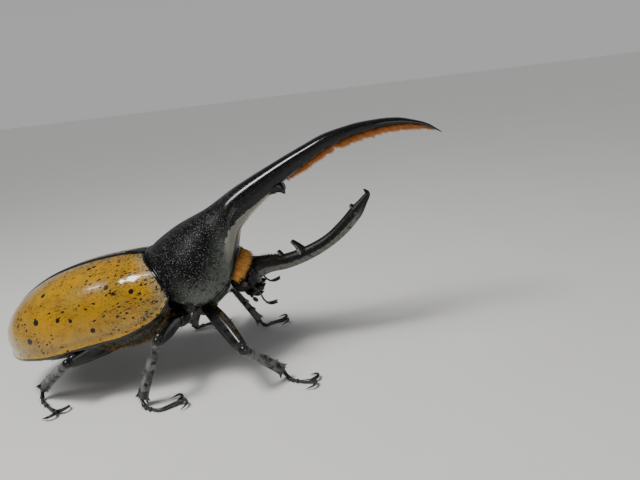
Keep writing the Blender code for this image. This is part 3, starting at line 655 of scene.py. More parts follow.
def wing_case_finish():
    """Ochre lacquer with dark specks that crowd towards the seam and the front, and black edges. Pale
    grey-green towards the lower rim and the rear is partly bloom and partly painted sheen, and a grey band
    at the front margin is painted sheen.
    """
    finish = Finish("wing_case", OCHRE, 0.2, coat=0.7, specular=0.2)
    seam, rim, front = (finish.attribute(name) for name in ("from_seam", "from_rim", "from_front"))
    cloud = finish.noise(0.12, 4.0, 0.6)
    grain = finish.noise(1.2, 4.0, 0.7, finish.stretched((0.5, 1.3, 1.3)))
    stain = finish.noise(0.30, 4.0, 0.65, finish.stretched((0.7, 1.0, 1.0)))
    colour = finish.mix(cloud.rise(0.40, 0.62) * 0.8, OCHRE, OLIVE)
    colour = finish.mix(stain.rise(0.46, 0.70) * 0.75, colour, RUSSET)
    colour = finish.mix(grain.rise(0.50, 0.74) * 0.4, colour, RUSSET)
    # Paler grey-green along the lower rim and at the rear: partly bloom, partly painted sheen
    colour = finish.mix(rim.rise(10.0, 1.2) * (0.12 + front.rise(36.0, 52.0) * 0.8), colour, RIM_BLOOM_AND_SHEEN)
    # A grey band along the front margin: painted sheen
    colour = finish.mix(front.rise(4.2, 1.2) * 0.6, colour, FRONT_MARGIN_SHEEN)
    colour = finish.mix(specks(finish, seam, front, (grain - 0.5) * 0.7), colour, DARK_SPECK)
    wobble = (finish.noise(0.9) - 0.5) * 0.7
    edges = (seam + wobble).rise(1.9, 1.5).larger((front + wobble).rise(0.9, 0.6))
    edges = edges.larger((rim + wobble * 0.4).rise(0.85, 0.6))
    finish.drive("Base Color", finish.mix(edges, colour, BLACK))
    finish.drive("Roughness", 0.15 + grain * 0.16)
    pits = finish.bumps(finish.cells(2.1).rise(0.0, 0.3), 0.25, 0.03)
    peel = finish.noise(0.75, 3.0, over=finish.stretched((1.0, 0.6, 0.6)))
    finish.drive("Normal", finish.bumps(peel, 0.6, 0.16, pits))
    return finish


def specks(finish, seam, front, ragged):
    """Specks of three sizes, streaks and the larger spots."""
    wander = finish.noise(1.1, 3.0, output="Color")
    bent = finish.vector("ADD", finish.stretched((0.6, 1.0, 1.0)), wander)
    drift = finish.noise(0.17).rise(0.40, 0.66)
    crowd = seam.rise(9.0, 0.5) * 0.50 + front.rise(22.0, 2.0) * 0.34 + drift * 0.30 + 0.08
    marks = spots(finish, ragged)
    for index, (scale, core, rim, share, bar, blur, strength) in enumerate(SPECK_SIZES):
        chance = finish.axis(finish.cells(scale, bent, output="Color"), index)
        grown = (chance - crowd * share - bar).rise(blur, -blur)
        marks = marks.larger(finish.cells(scale, bent).rise(rim, core) * grown * strength)
    streak = finish.noise(1.3, 3.0, 0.6, finish.vector("MULTIPLY", bent, (0.42, 1.3, 1.3)))
    return marks.larger((streak + crowd * 0.18).rise(0.69, 0.75) * 0.9)


def spots(finish, ragged):
    """The larger spots, on both cases, with ragged edges."""
    x, y, z = (finish.axis(finish.here, index) for index in range(3))
    folded = finish.node("ShaderNodeCombineXYZ", {}, {0: x, 1: abs(y), 2: z})
    marks = None
    for *centre, size in SPOTS:
        away = finish.vector("DISTANCE", folded, tuple(centre), "Value") + ragged
        mark = away.rise(size + 0.1, size - 0.1)
        marks = marks.larger(mark) if marks else mark
    return marks


def chitin(finish, bloom, glints=None, tone=BLOOM_AND_SHEEN, mottling=0.9):
    """Black chitin with a grey bloom of some tone that is partly painted sheen, and where wanted pale dots
    that are painted glints.
    """
    mottle = finish.noise(mottling, 4.0, 0.65)
    colour = finish.mix(bloom * mottle.rise(0.25, 0.55), BLACK, tone)
    if glints:
        # Pale dots in the pits: painted glints of light
        dots = finish.cells(2.6).rise(0.28, 0.16) * finish.noise(1.0, 3.0).rise(0.36, 0.52)
        colour = finish.mix(dots * glints, colour, PAINTED_GLINT)
    return colour


def shield_finish():
    """Black chitin, punctate on the pronotum with painted glints in its pits and glossy along the horn, with
    painted sheen on the lower flank and a grey belt at its edge that is partly bloom and partly a painted
    reflection of the floor.
    """
    finish = Finish("shield", BLACK, 0.3, specular=0.12)
    along = finish.axis(finish.here, 0)
    aside = abs(finish.axis(finish.here, 1))
    edge = finish.attribute("from_edge")
    share = finish.attribute("belt_share")
    smooth = along.rise(24.0, 40.0)
    jag = (finish.noise(1.0, 3.0, 0.7) - 0.5) * 2.6
    # Grey on the pronotum's lower flank: painted sheen
    flank_sheen = (edge + jag * 1.5).rise(9.0, 1.0) * along.rise(5.0, 15.0) * along.rise(29.0, 23.5) * 0.9
    colour = chitin(finish, flank_sheen, 0.95 - smooth * 0.75)
    # The grey belt: partly bloom, partly a painted reflection of the floor, broken up by noise
    reach = along.rise(23.5, 27.0) * along.rise(44.5, 42.0)
    belt_breakup = finish.noise(1.6, 4.0, 0.7).rise(0.22, 0.46) * 0.75 + 0.25
    colour = finish.mix((share + jag * 0.24).rise(1.0, 0.86) * reach * belt_breakup, colour, BELT_BLOOM_AND_SHEEN)
    colour = finish.mix(share.rise(0.28, 0.22) * reach, colour, BLACK)
    hem = share.rise(0.14, 0.10) * reach * along.rise(28.0, 31.0) * aside.rise(1.1, 1.8)
    finish.drive("Base Color", finish.mix(hem, colour, BELT_HEM))
    fine = finish.noise(3.2, 3.0, 0.7)
    relief = finish.cells(2.3).rise(0.05, 0.42) * (1 - smooth * 0.85) + fine * (0.35 - smooth * 0.2)
    finish.drive("Roughness", 0.36 - smooth * 0.22 + fine * 0.08)
    finish.drive("Coat Weight", smooth * 0.45)
    finish.drive("Normal", finish.bumps(relief, 0.8, 0.16))
    return finish


def shell_finish():
    """Glossy black chitin with fine punctures, grey on what faces down as a painted reflection of the floor,
    and patches of bloom.
    """
    finish = Finish("shell", BLACK, 0.22, coat=0.12, specular=0.2)
    # What faces down is greyer: a painted reflection of the pale floor. The patches elsewhere are bloom
    painted_floor_reflection = finish.axis(finish.coordinate("Normal"), 2).rise(0.1, -0.6)
    patch = finish.noise(0.22).rise(0.5, 0.66)
    finish.drive("Base Color", chitin(finish, (painted_floor_reflection * 0.5).larger(patch * 0.35)))
    pits = finish.cells(1.6).rise(0.02, 0.3)
    fine = finish.noise(1.4, 4.0, 0.6)
    finish.drive("Roughness", 0.16 + fine * 0.2)
    finish.drive("Normal", finish.bumps(pits * 0.6 + fine * 0.5, 0.5, 0.1))
    return finish


def head_finish():
    """Black chitin, glossy above, with painted glints and a grey-green bloom along the lower half of the
    head's horn, which is partly a painted reflection of the floor.
    """
    finish = Finish("head", BLACK, 0.3, specular=0.22)
    along = finish.axis(finish.here, 0)
    turn = finish.attribute("turn")
    jag = (finish.noise(1.0, 3.0, 0.6) - 0.5) * 0.5
    # The lower half of the horn is greyer: partly bloom, partly a painted reflection of the floor
    bloom = (turn + jag).rise(0.02, -0.2) * along.rise(28.0, 32.0) * along.rise(70.0, 64.0)
    finish.drive("Base Color", chitin(finish, bloom, 0.2, HORN_BLOOM_AND_SHEEN))
    rough = along.rise(40.0, 32.0)
    pits = finish.cells(1.9).rise(0.02, 0.34)
    fine = finish.noise(1.8, 4.0, 0.65)
    lumps = finish.noise(0.55) * along.rise(33.0, 30.0)
    finish.drive("Roughness", 0.30 + fine * 0.16 - along.rise(31.0, 29.0) * 0.14)
    finish.drive("Normal", finish.bumps(pits * (0.4 + rough) + fine * 0.6 + lumps * 3.0, 0.7, 0.16))
    return finish


def leg_finish():
    """Black chitin with patches of grey-green bloom that is partly painted sheen, for legs, feelers and
    palps.
    """
    finish = Finish("leg_shell", BLACK, 0.22, coat=0.18, specular=0.25, on_body=False)
    patch = finish.noise(0.22, 2.0, 0.4).rise(0.40, 0.50)
    streak = finish.noise(0.45, 3.0, 0.5).rise(0.36, 0.50)
    share = finish.attribute("bloom")
    # The grey-green patches: partly bloom, partly painted sheen
    bloom = patch.larger(0.45) * streak * share
    finish.drive("Base Color", chitin(finish, bloom, tone=LEG_BLOOM_AND_SHEEN, mottling=0.5))
    pits = finish.cells(1.2).rise(0.02, 0.3)
    fine = finish.noise(1.7, 4.0, 0.6)
    finish.drive("Roughness", 0.14 + fine * 0.2 + share * 0.1)
    finish.drive("Normal", finish.bumps(pits * 0.5 + fine * 0.6, 0.6, 0.12))
    return finish


def eye_finish():
    """Dark brown, with fine facets under a polished coat."""
    finish = Finish("eye", (0.02, 0.010, 0.005), 0.12, coat=0.5, specular=0.4)
    facets = finish.cells(7.0, feature="DISTANCE_TO_EDGE").rise(0.0, 0.12)
    cloud = finish.noise(1.2).rise(0.4, 0.65)
    finish.drive("Base Color", finish.mix(cloud, (0.010, 0.005, 0.003), (0.035, 0.016, 0.007)))
    finish.drive("Normal", finish.bumps(facets, 0.35, 0.03))
    return finish


def hair_finish(name, root, tip):
    """Hair that pales from root to tip, the darker roots partly painted shade, each strand darker or paler
    than the next.
    """
    finish = Finish(name, tip, 0.45, specular=0.3, on_body=False)
    lock = finish.noise(1.1, 3.0)
    # Darker towards the root: partly painted shade
    colour = finish.mix(finish.attribute("tip").rise(-0.1, 0.8), root, tip)
    colour = finish.mix(lock.rise(0.42, 0.68) * 0.35, colour, tuple(c * 0.5 for c in tip))
    strand = finish.attribute("strand") * 0.6
    finish.drive("Base Color", finish.mix(strand, colour, tuple(c * 0.45 for c in root)))
    finish.drive("Roughness", 0.4 + lock * 0.2)
    return finish


def floor_finish():
    """A plain pale floor with the faintest grain."""
    finish = Finish("floor", (0.62, 0.61, 0.59), 0.6, on_body=False)
    grain = finish.noise(0.02, 4.0)
    finish.drive("Base Color", finish.mix(grain, (0.60, 0.59, 0.57), (0.65, 0.64, 0.62)))
    return finish


# Wing cases

def front_bow(x, y):
    fade = max(0.0, 1.0 - abs(x) / BOW_REACH)
    return FRONT_BOW * (y / 15.0) ** 2 * fade * fade * (3 - 2 * fade)


def dome_ring(u, inset):
    """Place on the axis, half width, crest and margin of the wing cases, from front to apex."""
    if u < FRONT_SHARE:
        share = u / FRONT_SHARE
        x = FRONT_X + (CREST_X - FRONT_X) * share
        half = CASE_HALF_WIDTH - (CASE_HALF_WIDTH - SHOULDER_HALF_WIDTH) * (1 - share) ** 2
        crest = CREST_Z - (CREST_Z - FRONT_Z) * (1 - share) ** 2 - inset
    else:
        turn = (u - FRONT_SHARE) / (1 - FRONT_SHARE) * math.pi / 2
        x = CREST_X - (CREST_X - APEX_X - inset) * math.sin(turn)
        half = CASE_HALF_WIDTH * max(math.cos(turn), 0.0) ** (2 / REAR_FULLNESS)
        crest = APEX_Z + (CREST_Z - APEX_Z - inset) * max(math.cos(turn), 0.0)
    return x, max(half - inset, 0.0), crest, margin_line(x)


def ridges(away, plan):
    return sum(height * hump(away - place, reach) for place, reach, height in plan)


def case_relief(x, y, from_seam, from_rim):
    """Raised seam and rim, with a furrow beside each, and two low knobs."""
    relief = ridges(from_seam, SEAM_RIDGES) + ridges(from_rim, RIM_RIDGES)
    for knob_x, knob_y, reach, height in (SHOULDER_KNOB, REAR_KNOB):
        relief += height * hump(math.hypot(x - knob_x, y - knob_y), reach)
    return relief


def wing_case(side, finish):
    bm = bmesh.new()
    bmesh.ops.create_grid(bm, x_segments=170, y_segments=84, size=1.0)
    seam, rim, front = (bm.verts.layers.float.new(name) for name in ("from_seam", "from_rim", "from_front"))
    for vertex in bm.verts:
        x, half, crest, margin = dome_ring((1 - vertex.co.x) / 2, 0.0)
        turn = (vertex.co.y + 1) / 2 * math.pi / 2
        y = max(half * math.sin(turn) ** (2 / DOME_FULLNESS), CASE_GAP / 2)
        z = margin + (crest - margin) * max(math.cos(turn), 0.0) ** (2 / DOME_FULLNESS)
        vertex.co = (x + front_bow(x, y), side * y, z)
        vertex[seam] = y
        vertex[rim] = math.hypot((half - y) * 0.8, z - margin)
        vertex[front] = FRONT_X - x
    bmesh.ops.remove_doubles(bm, verts=bm.verts, dist=0.01)
    bmesh.ops.recalc_face_normals(bm, faces=bm.faces)
    if sum(face.normal.z for face in bm.faces) < 0:
        bmesh.ops.reverse_faces(bm, faces=bm.faces)
    displaced(bm, lambda v: case_relief(v.co.x, abs(v.co.y), v[seam], v[rim]))
    for vertex in bm.verts:
        vertex.co.y = side * max(side * vertex.co.y, CASE_GAP / 2)
    node = "elytron_" + side_name(side)
    piece = piece_from(bm, "wing_case_" + side_name(side), finish, [node], recalculate=False)
    wall = piece.modifiers.new("wall", "SOLIDIFY")
    wall.thickness = CASE_WALL * MM
    wall.offset = -1.0


def scutellum(finish):
    """The small triangle between the wing cases' front ends."""
    length, half, thick = SCUTELLUM
    bm = bmesh.new()

    def shape(share, angle):
        reach = math.sin(math.pi * share) ** 0.6
        x = FRONT_X - length / 2 + length * 0.56 * math.cos(angle) * reach
        back = min(max((FRONT_X - x) / length, 0.0), 1.0)
        y = half * (1 - back) ** 0.8 * signed_power(math.sin(angle), 0.6) * reach
        crest = dome_ring(max(FRONT_X - x, 0.0) / (FRONT_X - CREST_X) * FRONT_SHARE, 0.0)[2]
        return Vector((x, y, crest + 0.12 + thick * 0.5 * math.cos(math.pi * share)))

    rounded(bm, 48, 24, shape)
    piece_from(bm, "scutellum_plate", finish, ["scutellum"])


# Pronotum and thoracic horn

def shield_point(x, angle):
    """A point on the pronotum or horn: angle 0 is the left flank, 90 degrees the top."""
    top = top_line(x)
    under = under_line(x)
    level = under + (top - under) * widest_share(x)
    y = side_line(x) * signed_power(math.cos(angle), roundness(x))
    rise = math.sin(angle)
    z = level + (top - level if rise >= 0 else level - under) * signed_power(rise, roundness(x))
    return Vector((x + front_bow(x, y), y, z))


def opening_point(share):
    """A point on the rim of the pronotum's front opening: share 0 is its middle, 1 or -1 a lower corner."""
    x, turn, _ = front_opening(1 - abs(share))
    point = shield_point(x, math.radians(turn))
    return Vector((point.x, math.copysign(point.y, share), point.z))


def shield_edge():
    """The pronotum's side margin, its front opening and the horn's lower edge, as seen from the side."""
    margin = [shield_point(x / 2, 0.0) for x in range(8, 43)]
    opening = [opening_point(1 - i / 16) for i in range(17)]
    under = [Vector((x, 0.0, under_line(x))) for x in np.arange(27.0, 50.0, 0.4)]
    return np.array([(point.x, point.z) for point in margin + opening + under])


def mark_edge(bm):
    """Keeps each point's distance from the edge in the side view, also as a share of the belt's width."""
    from_edge = bm.verts.layers.float.new("from_edge")
    belt_share = bm.verts.layers.float.new("belt_share")
    edge = shield_edge()
    for vertex in bm.verts:
        place = np.array((vertex.co.x, vertex.co.z))
        away = float(np.sqrt(((edge - place) ** 2).sum(axis=1).min()))
        vertex[from_edge] = away
        vertex[belt_share] = away / belt_width(vertex.co.x)


def shield_and_horn(finish):
    """Pronotum, horn and teeth in one skin."""
    bm = bmesh.new()

    def shape(share, angle):
        x = horn_place(share)
        middle = Vector((x, 0.0, (top_line(x) + under_line(x)) / 2))
        return middle.lerp(shield_point(x, angle), end_swell(share, (0.012, 0.012)))

    rounded(bm, 112, 300, shape)
    for side in (-1, 1):
        thorn(bm, flipped(BIG_TOOTH, side), BIG_TOOTH_SIZE, up=(0, 0, 1), sides=28, rings=34)
    thorn(bm, SMALL_TOOTH, SMALL_TOOTH_SIZE)
    mark_edge(bm)
    nodes = ["pronotum", "thoracic_horn_base", "thoracic_horn_middle", "thoracic_horn_tip"]
    piece_from(bm, "pronotum_and_horn", finish, nodes)


def shield_rims(finish):
    """The bead round the pronotum's rear and side edges, and the one in front, over the head."""
    bm = bmesh.new()
    side = [(21.5, 0), (18.0, 0), (14.0, 0), (10.0, 0), (6.0, 0), (3.0, 0), (1.2, 3), (0.45, 10)]
    rear = [(0.4, turn) for turn in range(22, 159, 8)]
    edge = side + rear + [(x, 180 - turn) for x, turn in reversed(side)]
    points = [shield_point(x, math.radians(turn)) for x, turn in edge]
    Limb(points, [0.25, 0.42, 0.42, 0.42, 0.25], up=(0.1, 0.02, 1)).add(bm, 10, 300, (0.01, 0.01))
    points = [opening_point(i / 8) for i in range(-8, 9)]
    Limb(points, [0.3, 0.55, 0.55, 0.55, 0.3], up=(1, 0.02, 0.1)).add(bm, 10, 140, (0.01, 0.01))
    piece_from(bm, "pronotum_rims", finish)


# Head

def horn_groove(t, angle):
    """A furrow along each side of the head's horn, near its root."""
    fade = hump(t - 0.22, 0.16)
    right = hump(angle + 0.35, 0.16)
    left = hump(angle + math.pi - 0.35, 0.16)
    return 1 - 0.09 * fade * (right + left)


def head_horn():
    return Limb(HEAD_HORN, HEAD_HORN_DEPTH, HEAD_HORN_SIDE, form=horn_groove)


def head_and_horn(finish):
    """Head, its horn and the horn's teeth in one skin."""
    bm = bmesh.new()
    loft(bm, HEAD, 48, 40)
    head_horn().add(bm, 44, 180, (0.02, 0.01))
    for *points, size in HEAD_HORN_TEETH:
        thorn(bm, points, [size * share for share in HEAD_TOOTH_TAPER], sides=24, rings=28)
    for side in (-1, 1):
        Limb(flipped(EYE_RIDGE, side), EYE_RIDGE_SIZE).add(bm)
    piece_from(bm, "head_and_horn", finish, ["head", "head_horn_base", "head_horn_tip"])


def eye(side, finish):
    bm = bmesh.new()
    bead(bm, *flipped([EYE_PLACE], side), EYE_SIZE)
    piece_from(bm, "eye_dome_" + side_name(side), finish, ["eye_" + side_name(side)])


def mouth(finish):
    """Upper lip, jaws and the lobes between them."""
    bm = bmesh.new()
    loft(bm, JAWS, 32, 24)
    for side in (-1, 1):
        for points, depth, across, rings in LOBES:
            Limb(flipped(points, side), depth, across).add(bm, 16, rings)
    piece_from(bm, "mouth", finish, ["mouthparts"])


def feeler(side, finish):
    """A long first joint, a chain of beads and a club of three leaves."""
    bm = bmesh.new()
    route = Curve(mirrored(FEELER, side))
    Limb([route(0.0), route(0.16), route(0.38)], [0.42, 0.46, 0.56]).add(bm, 14, 18)
    for index in range(7):
        t = 0.41 + 0.085 * index
        Limb([route(t - 0.045), route(t + 0.045)], [0.24, 0.4]).add(bm, 12, 10, (0.2, 0.3))
    for fan in (-1, 0, 1):
        points = [Vector(p) + Vector((0, 0, 0.25 * fan * i)) for i, p in enumerate(mirrored(CLUB, side))]
        Limb(points, [0.2, 0.3, 0.15], CLUB_SIZE).add(bm, 14, 18)
    mark_bloom_and_sheen(bm, 0.3)
    node = "antenna_" + side_name(side)
    piece_from(bm, "feeler_" + side_name(side), finish, [node], ON_FLOOR)


def palp(side, finish):
    bm = bmesh.new()
    route = Curve(mirrored(PALP, side))
    for start, stop, size in ((0.0, 0.3, 0.46), (0.3, 0.56, 0.5), (0.56, 1.0, 0.66)):
        points = [route(start), route((start + stop) / 2), route(stop)]
        Limb(points, [size * 0.7, size, size * 0.75]).add(bm, 12, 12, (0.2, 0.25))
    mark_bloom_and_sheen(bm, 0.3)
    node = "palp_" + side_name(side)
    piece_from(bm, "feeler_palp_" + side_name(side), finish, [node], ON_FLOOR)


# Underside

def underside_point(share, angle, swell=1.0):
    """A point on the abdomen or hind thorax, from front to tail: angle -90 degrees is the belly's middle."""
    x, half, crest, margin = dome_ring(share, LINING)
    rise = math.sin(angle)
    if rise >= 0:
        y = half * signed_power(math.cos(angle), 2 / DOME_FULLNESS)
        z = margin + (crest - margin) * rise ** (2 / DOME_FULLNESS)
    else:
        step = 1.0
        if x < WAIST_X:
            ring = (x - APEX_X) / (WAIST_X - APEX_X) * STERNITES
            step = 1.0 - STERNITE_STEP * (ring - math.floor(ring))
        y = half * signed_power(math.cos(angle), 2 / BELLY_FULLNESS)
        z = margin - belly_depth(x) * step * abs(rise) ** (2 / BELLY_FULLNESS)
    return Vector((x, 0.0, (crest + margin) / 2)).lerp(Vector((x + front_bow(x, y), y, z)), swell)


def hip_place(pair, side):
    """The middle of the round joint that a leg grows from."""
    x, y, z = HIPS[pair][0]
    return Vector((x, side * (y - COXA_INSET), z))


def add_hips(bm, pair):
    for side in (-1, 1):
        bead(bm, hip_place(pair, side), HIPS[pair][1])


def underside(finish):
    """Abdomen with its stepped rings, and the hind thorax with the hips."""
    bm = bmesh.new()
    rounded(bm, 72, 170, lambda share, angle: underside_point(share, angle, end_swell(share, (0.01, 0.01))))
    add_hips(bm, "middle")
    add_hips(bm, "hind")
    piece_from(bm, "underside", finish, ["abdomen", "thorax_under"])


def throat(finish):
    bm = bmesh.new()
    loft(bm, THROAT, 48, 36)
    add_hips(bm, "fore")
    piece_from(bm, "throat", finish, ["prosternum"])


# Legs

class Leg:
    """One leg's places over the floor, from hip to claws."""

    def __init__(self, pair, side):
        plan = LEGS[pair]
        self.name = "_" + pair + "_" + side_name(side)
        self.teeth = plan["teeth"]
        self.thick, self.thin = plan["thigh"]
        self.slim, self.broad = plan["shin"]
        x, y, z = HIPS[pair][0]
        self.hip = TO_FLOOR @ Vector((x, side * y, z))
        places = mirrored([plan["knee"], plan["ankle"], *plan["foot"]], side, LEFT_STEP[pair])
        self.knee, self.ankle, *self.route = [Vector(place) for place in places]
        self.shin_start = self.knee.lerp(self.ankle, -0.05)
        self.line = (self.ankle - self.shin_start).normalized()
        outer = Vector(plan["outer"])
        self.outer = (outer - self.line * outer.dot(self.line)).normalized()

    def thigh(self):
        middle = self.hip.lerp(self.knee, 0.5) + Vector((0, 0, 0.5))
        depth = [self.thick * 0.7, self.thick * 1.08, self.thick * 0.7]
        side = [self.thin * 0.9, self.thin, self.thin * 0.85]
        return Limb([self.hip, middle, self.knee], depth, side, form=thigh_ridges)

    def shin(self):
        points = [self.shin_start, self.shin_start.lerp(self.ankle, 0.5), self.ankle]
        depth = [self.slim, self.broad * 0.85, self.broad]
        side = [self.slim * 0.9, self.slim * 0.95, self.slim]
        return Limb(points, depth, side, form=shin_ridges)


def thigh_ridges(t, angle):
    """Two long ridges with a shallow trough between them."""
    fade = math.sin(math.pi * min(max(t, 0.0), 1.0))
    return 1 + fade * (0.07 * math.cos(3 * angle) - 0.12 * hump(abs(angle) - math.pi / 2, 0.4))


def shin_ridges(t, angle):
    """Sharp long ridges, and a flare where the foot begins."""
    flare = 0.05 * hump(1 - t, 0.1)
    return 1 + 0.06 * math.cos(4 * angle) + 0.02 * math.sin(38 * t) * math.cos(angle) + flare


def mark_bloom_and_sheen(bm, share):
    """Marks how much grey bloom, partly painted sheen, a joint of a leg or feeler carries."""
    layer = bm.verts.layers.float.new("bloom")
    for vertex in bm.verts:
        vertex[layer] = share


def leg_piece(bm, name, node, finish, bloom):
    """Makes a joint of a leg, lifted clear of the floor."""
    mark_bloom_and_sheen(bm, bloom)
    for vertex in bm.verts:
        vertex.co.z = max(vertex.co.z, REST_HEIGHT)
    piece_from(bm, name, finish, [node], ON_FLOOR)


def thigh(leg, finish):
    bm = bmesh.new()
    leg.thigh().add(bm, 36, 56, (0.06, 0.08))
    bead(bm, leg.knee, (leg.thin * 0.8,) * 3, 24, 16)
    leg_piece(bm, "thigh" + leg.name, "femur" + leg.name, finish, 0.12)


def shin(leg, finish):
    """A ridged shin with teeth outside, two spurs inside and bristles round its end."""
    bm = bmesh.new()
    whole = leg.shin()
    whole.add(bm, 36, 60, (0.06, 0.04))
    for share in leg.teeth:
        root = whole.curve(share - 0.07)
        base = whole.curve(share) + leg.outer * leg.broad * 0.5
        tip = whole.curve(share) + leg.outer * leg.broad * 1.35 + leg.line * leg.broad * 0.6
        thorn(bm, [root, base, tip], [1.0, 0.95, 0.07], up=leg.line + leg.outer * 0.01, sides=16, rings=18)
    for lean in (-1, 1):
        root = whole.curve(0.93) - leg.outer * leg.broad * 0.35
        tip = root + (leg.line * 0.7 - leg.outer * 0.55) * SPUR_LENGTH + Vector((0, lean * 0.8, 0))
        tip.z = max(tip.z, 0.6)
        middle = root.lerp(tip, 0.5) + leg.line * 0.2
        thorn(bm, [root, middle, tip], [0.55, 0.42, 0.06], up=leg.outer, sides=12)
    for index in range(9):
        root = whole.point(0.955, index * math.tau / 9)
        bristle(bm, root, root + leg.line * 1.3 + (root - whole.curve(0.955)) * 0.25, 0.13)
    for index in range(8):
        share = 0.25 + 0.09 * index
        root = whole.point(share, math.radians(200 if index % 2 else 340))
        bristle(bm, root, root + leg.line * 0.8 + (root - whole.curve(share)) * 0.6, 0.1)
    leg_piece(bm, "shin" + leg.name, "tibia" + leg.name, finish, 1.0)


def foot(leg, finish):
    """Four short joints and a long one, with two hooked claws."""
    bm = bmesh.new()
    curve = Curve([leg.ankle.lerp(leg.route[0], -0.6), *leg.route])
    for start, stop in ((0.0, 0.24), (0.23, 0.38), (0.37, 0.52), (0.51, 0.66), (0.65, 1.0)):
        points = [curve(start), curve((start + stop) / 2), curve(stop)]
        Limb(points, [FOOT_SIZE * 0.55, FOOT_SIZE * 0.78, FOOT_SIZE * 0.98]).add(bm, 16, 18, (0.16, 0.14))
        for lean in (-1, 1):
            heading = curve.heading(stop - 0.02)
            aside = heading.cross(Vector((0, 0, 1))).normalized() * lean
            root = curve(stop - 0.02) + aside * 0.5
            bristle(bm, root, root + heading * 1.0 + aside * 0.7, 0.09)
    end = leg.route[-1]
    ahead = (end - curve(0.88)).normalized()
    ahead.z = 0.0
    aside = ahead.cross(Vector((0, 0, 1))).normalized()
    for lean in (-1, 1):
        points = [end + ahead * a + aside * b * lean + Vector((0, 0, rise)) for a, b, rise in CLAW]
        thorn(bm, points, CLAW_SIZE, up=(0, 0, 1), sides=14, rings=28)
    leg_piece(bm, "foot" + leg.name, "tarsus" + leg.name, finish, 0.3)


# Hair

def strand_mesh():
    """One hair, 1 long, that bows towards +X."""
    bm = bmesh.new()
    tip = bm.verts.layers.float.new("tip")
    bmesh.ops.create_cone(bm, cap_ends=True, segments=3, radius1=0.028, radius2=0.004, depth=1.0)
    upright = [edge for edge in bm.edges if abs(edge.verts[0].co.z - edge.verts[1].co.z) > 0.5]
    bmesh.ops.subdivide_edges(bm, edges=upright, cuts=1)
    for vertex in bm.verts:
        share = vertex.co.z + 0.5
        vertex[tip] = share
        vertex.co.x += 0.3 * share * share
        vertex.co.z = share - 0.08 * share * share
    return mesh_from(bm, "strand")


def stamp(bm, mesh, matrix):
    """Adds a moved copy of a mesh."""
    copy = mesh.copy()
    copy.transform(matrix)
    bm.from_mesh(copy)
    bpy.data.meshes.remove(copy)


def tuft_mesh(strand, strands, spread, draw):
    """Several hairs from one root, some shorter than others."""
    bm = bmesh.new()
    for _ in range(strands):
        turn = Matrix.Rotation(draw.uniform(-0.7, 0.7), 4, "Z")
        roll = Matrix.Rotation(draw.uniform(-spread, spread), 4, "X")
        tilt = Matrix.Rotation(draw.uniform(-spread, spread), 4, "Y")
        place = Matrix.Translation((draw.uniform(-0.07, 0.07), draw.uniform(-0.07, 0.07), 0.0))
        stamp(bm, strand, place @ (roll @ tilt) @ turn @ Matrix.Scale(draw.uniform(0.7, 1.05), 4))
    return mesh_from(bm, "tuft")


def lie_matrix(root, lie, bow, length):
    """Places a tuft with its length along lie and its bow towards bow."""
    lie = Vector(lie).normalized()
    across = lie.cross(Vector(bow)).normalized()
    bow = across.cross(lie)
    turned = Matrix((bow, across, lie)).transposed().to_4x4()
    return Matrix.Translation(root) @ turned @ Matrix.Scale(length, 4)


def coat(name, tufts, roots, finish, frame):
    """A coat of tufts at (root, lie, bow, length, unwrapped place), with a tone for each strand."""
    bm = bmesh.new()
    draw = random.Random(name)
    for root, lie, bow, length, _ in roots:
        stamp(bm, tufts[draw.randrange(len(tufts))], lie_matrix(root, lie, bow, length))
    piece = piece_from(bm, name, finish, frame=frame, recalculate=False)
    corners = len(tufts[0].loops)
    centres = np.array([place for *_, place in roots]) * (1 - 2 * PATCH) + PATCH
    inside = np.array([(math.cos(i * 2.4), math.sin(i * 2.4)) for i in range(corners)]) * PATCH / 2
    places = (centres[:, None, :] + inside[None, :, :]).reshape(-1)
    piece.data.uv_layers.new(name="OFBake").data.foreach_set("uv", places.astype(np.float32))
    tones = np.random.default_rng(len(roots)).random(len(piece.data.vertices) // STRAND_POINTS)
    strand = piece.data.attributes.new("strand", "FLOAT", "POINT")
    strand.data.foreach_set("value", np.repeat(tones, STRAND_POINTS).astype(np.float32))


def unit(draw):
    """A number between -1 and 1."""
    return draw.uniform(-1.0, 1.0)


def hair_lock(root, lie, bow, length, place, spread, count, draw):
    """Tufts that grow round one root and meet in a pointed tip."""
    tip = Vector(root) + Vector(lie).normalized() * length
    for _ in range(count):
        start = Vector(root) + Vector((unit(draw), unit(draw), 0.4 * unit(draw))) * spread
        yield start, tip - start, bow, length * draw.uniform(0.8, 1.05), place


def horn_fringe(draw):
    """Dense hair under the horn, leaning towards its tip, with a nick at the small tooth."""
    first, last = FRINGE_RANGE
    for index in range(FRINGE_LOCKS):
        share = (index + draw.random()) / FRINGE_LOCKS
        aside = unit(draw)
        x = first + (last - first) * share
        fall = fringe_fall(share) * draw.uniform(0.82, 1.1) * (1 - 0.15 * abs(aside))
        fall *= 1 - 0.75 * hump(x - FRINGE_GAP, 0.5)
        root = (x, aside * min(1.3, 0.42 * side_line(x)), under_line(x) + 0.5)
        lie = (0.42 + 0.12 * unit(draw), 0.22 * aside, -1.0)
        place = (share, 0.5 + 0.45 * aside)
        length = (fall + 0.5) * 1.1
        yield from hair_lock(root, lie, (1, 0, 0), length, place, 0.4, FRINGE_LOCK_TUFTS, draw)


def belt_hair(draw):
    """A thin line of ginger hair along the horn's lower edge, behind the big teeth."""
    first, last = BELT_HAIR
    for _ in range(BELT_TUFTS):
        share = draw.random()
        x = first + (last - first) * share
        root = (x, 0.5 * unit(draw), under_line(x) + 0.3)
        lie = (0.9, 0.3 * unit(draw), -0.9)
        yield root, lie, (1, 0, 0), draw.uniform(0.5, 1.0), (share, 0.5)


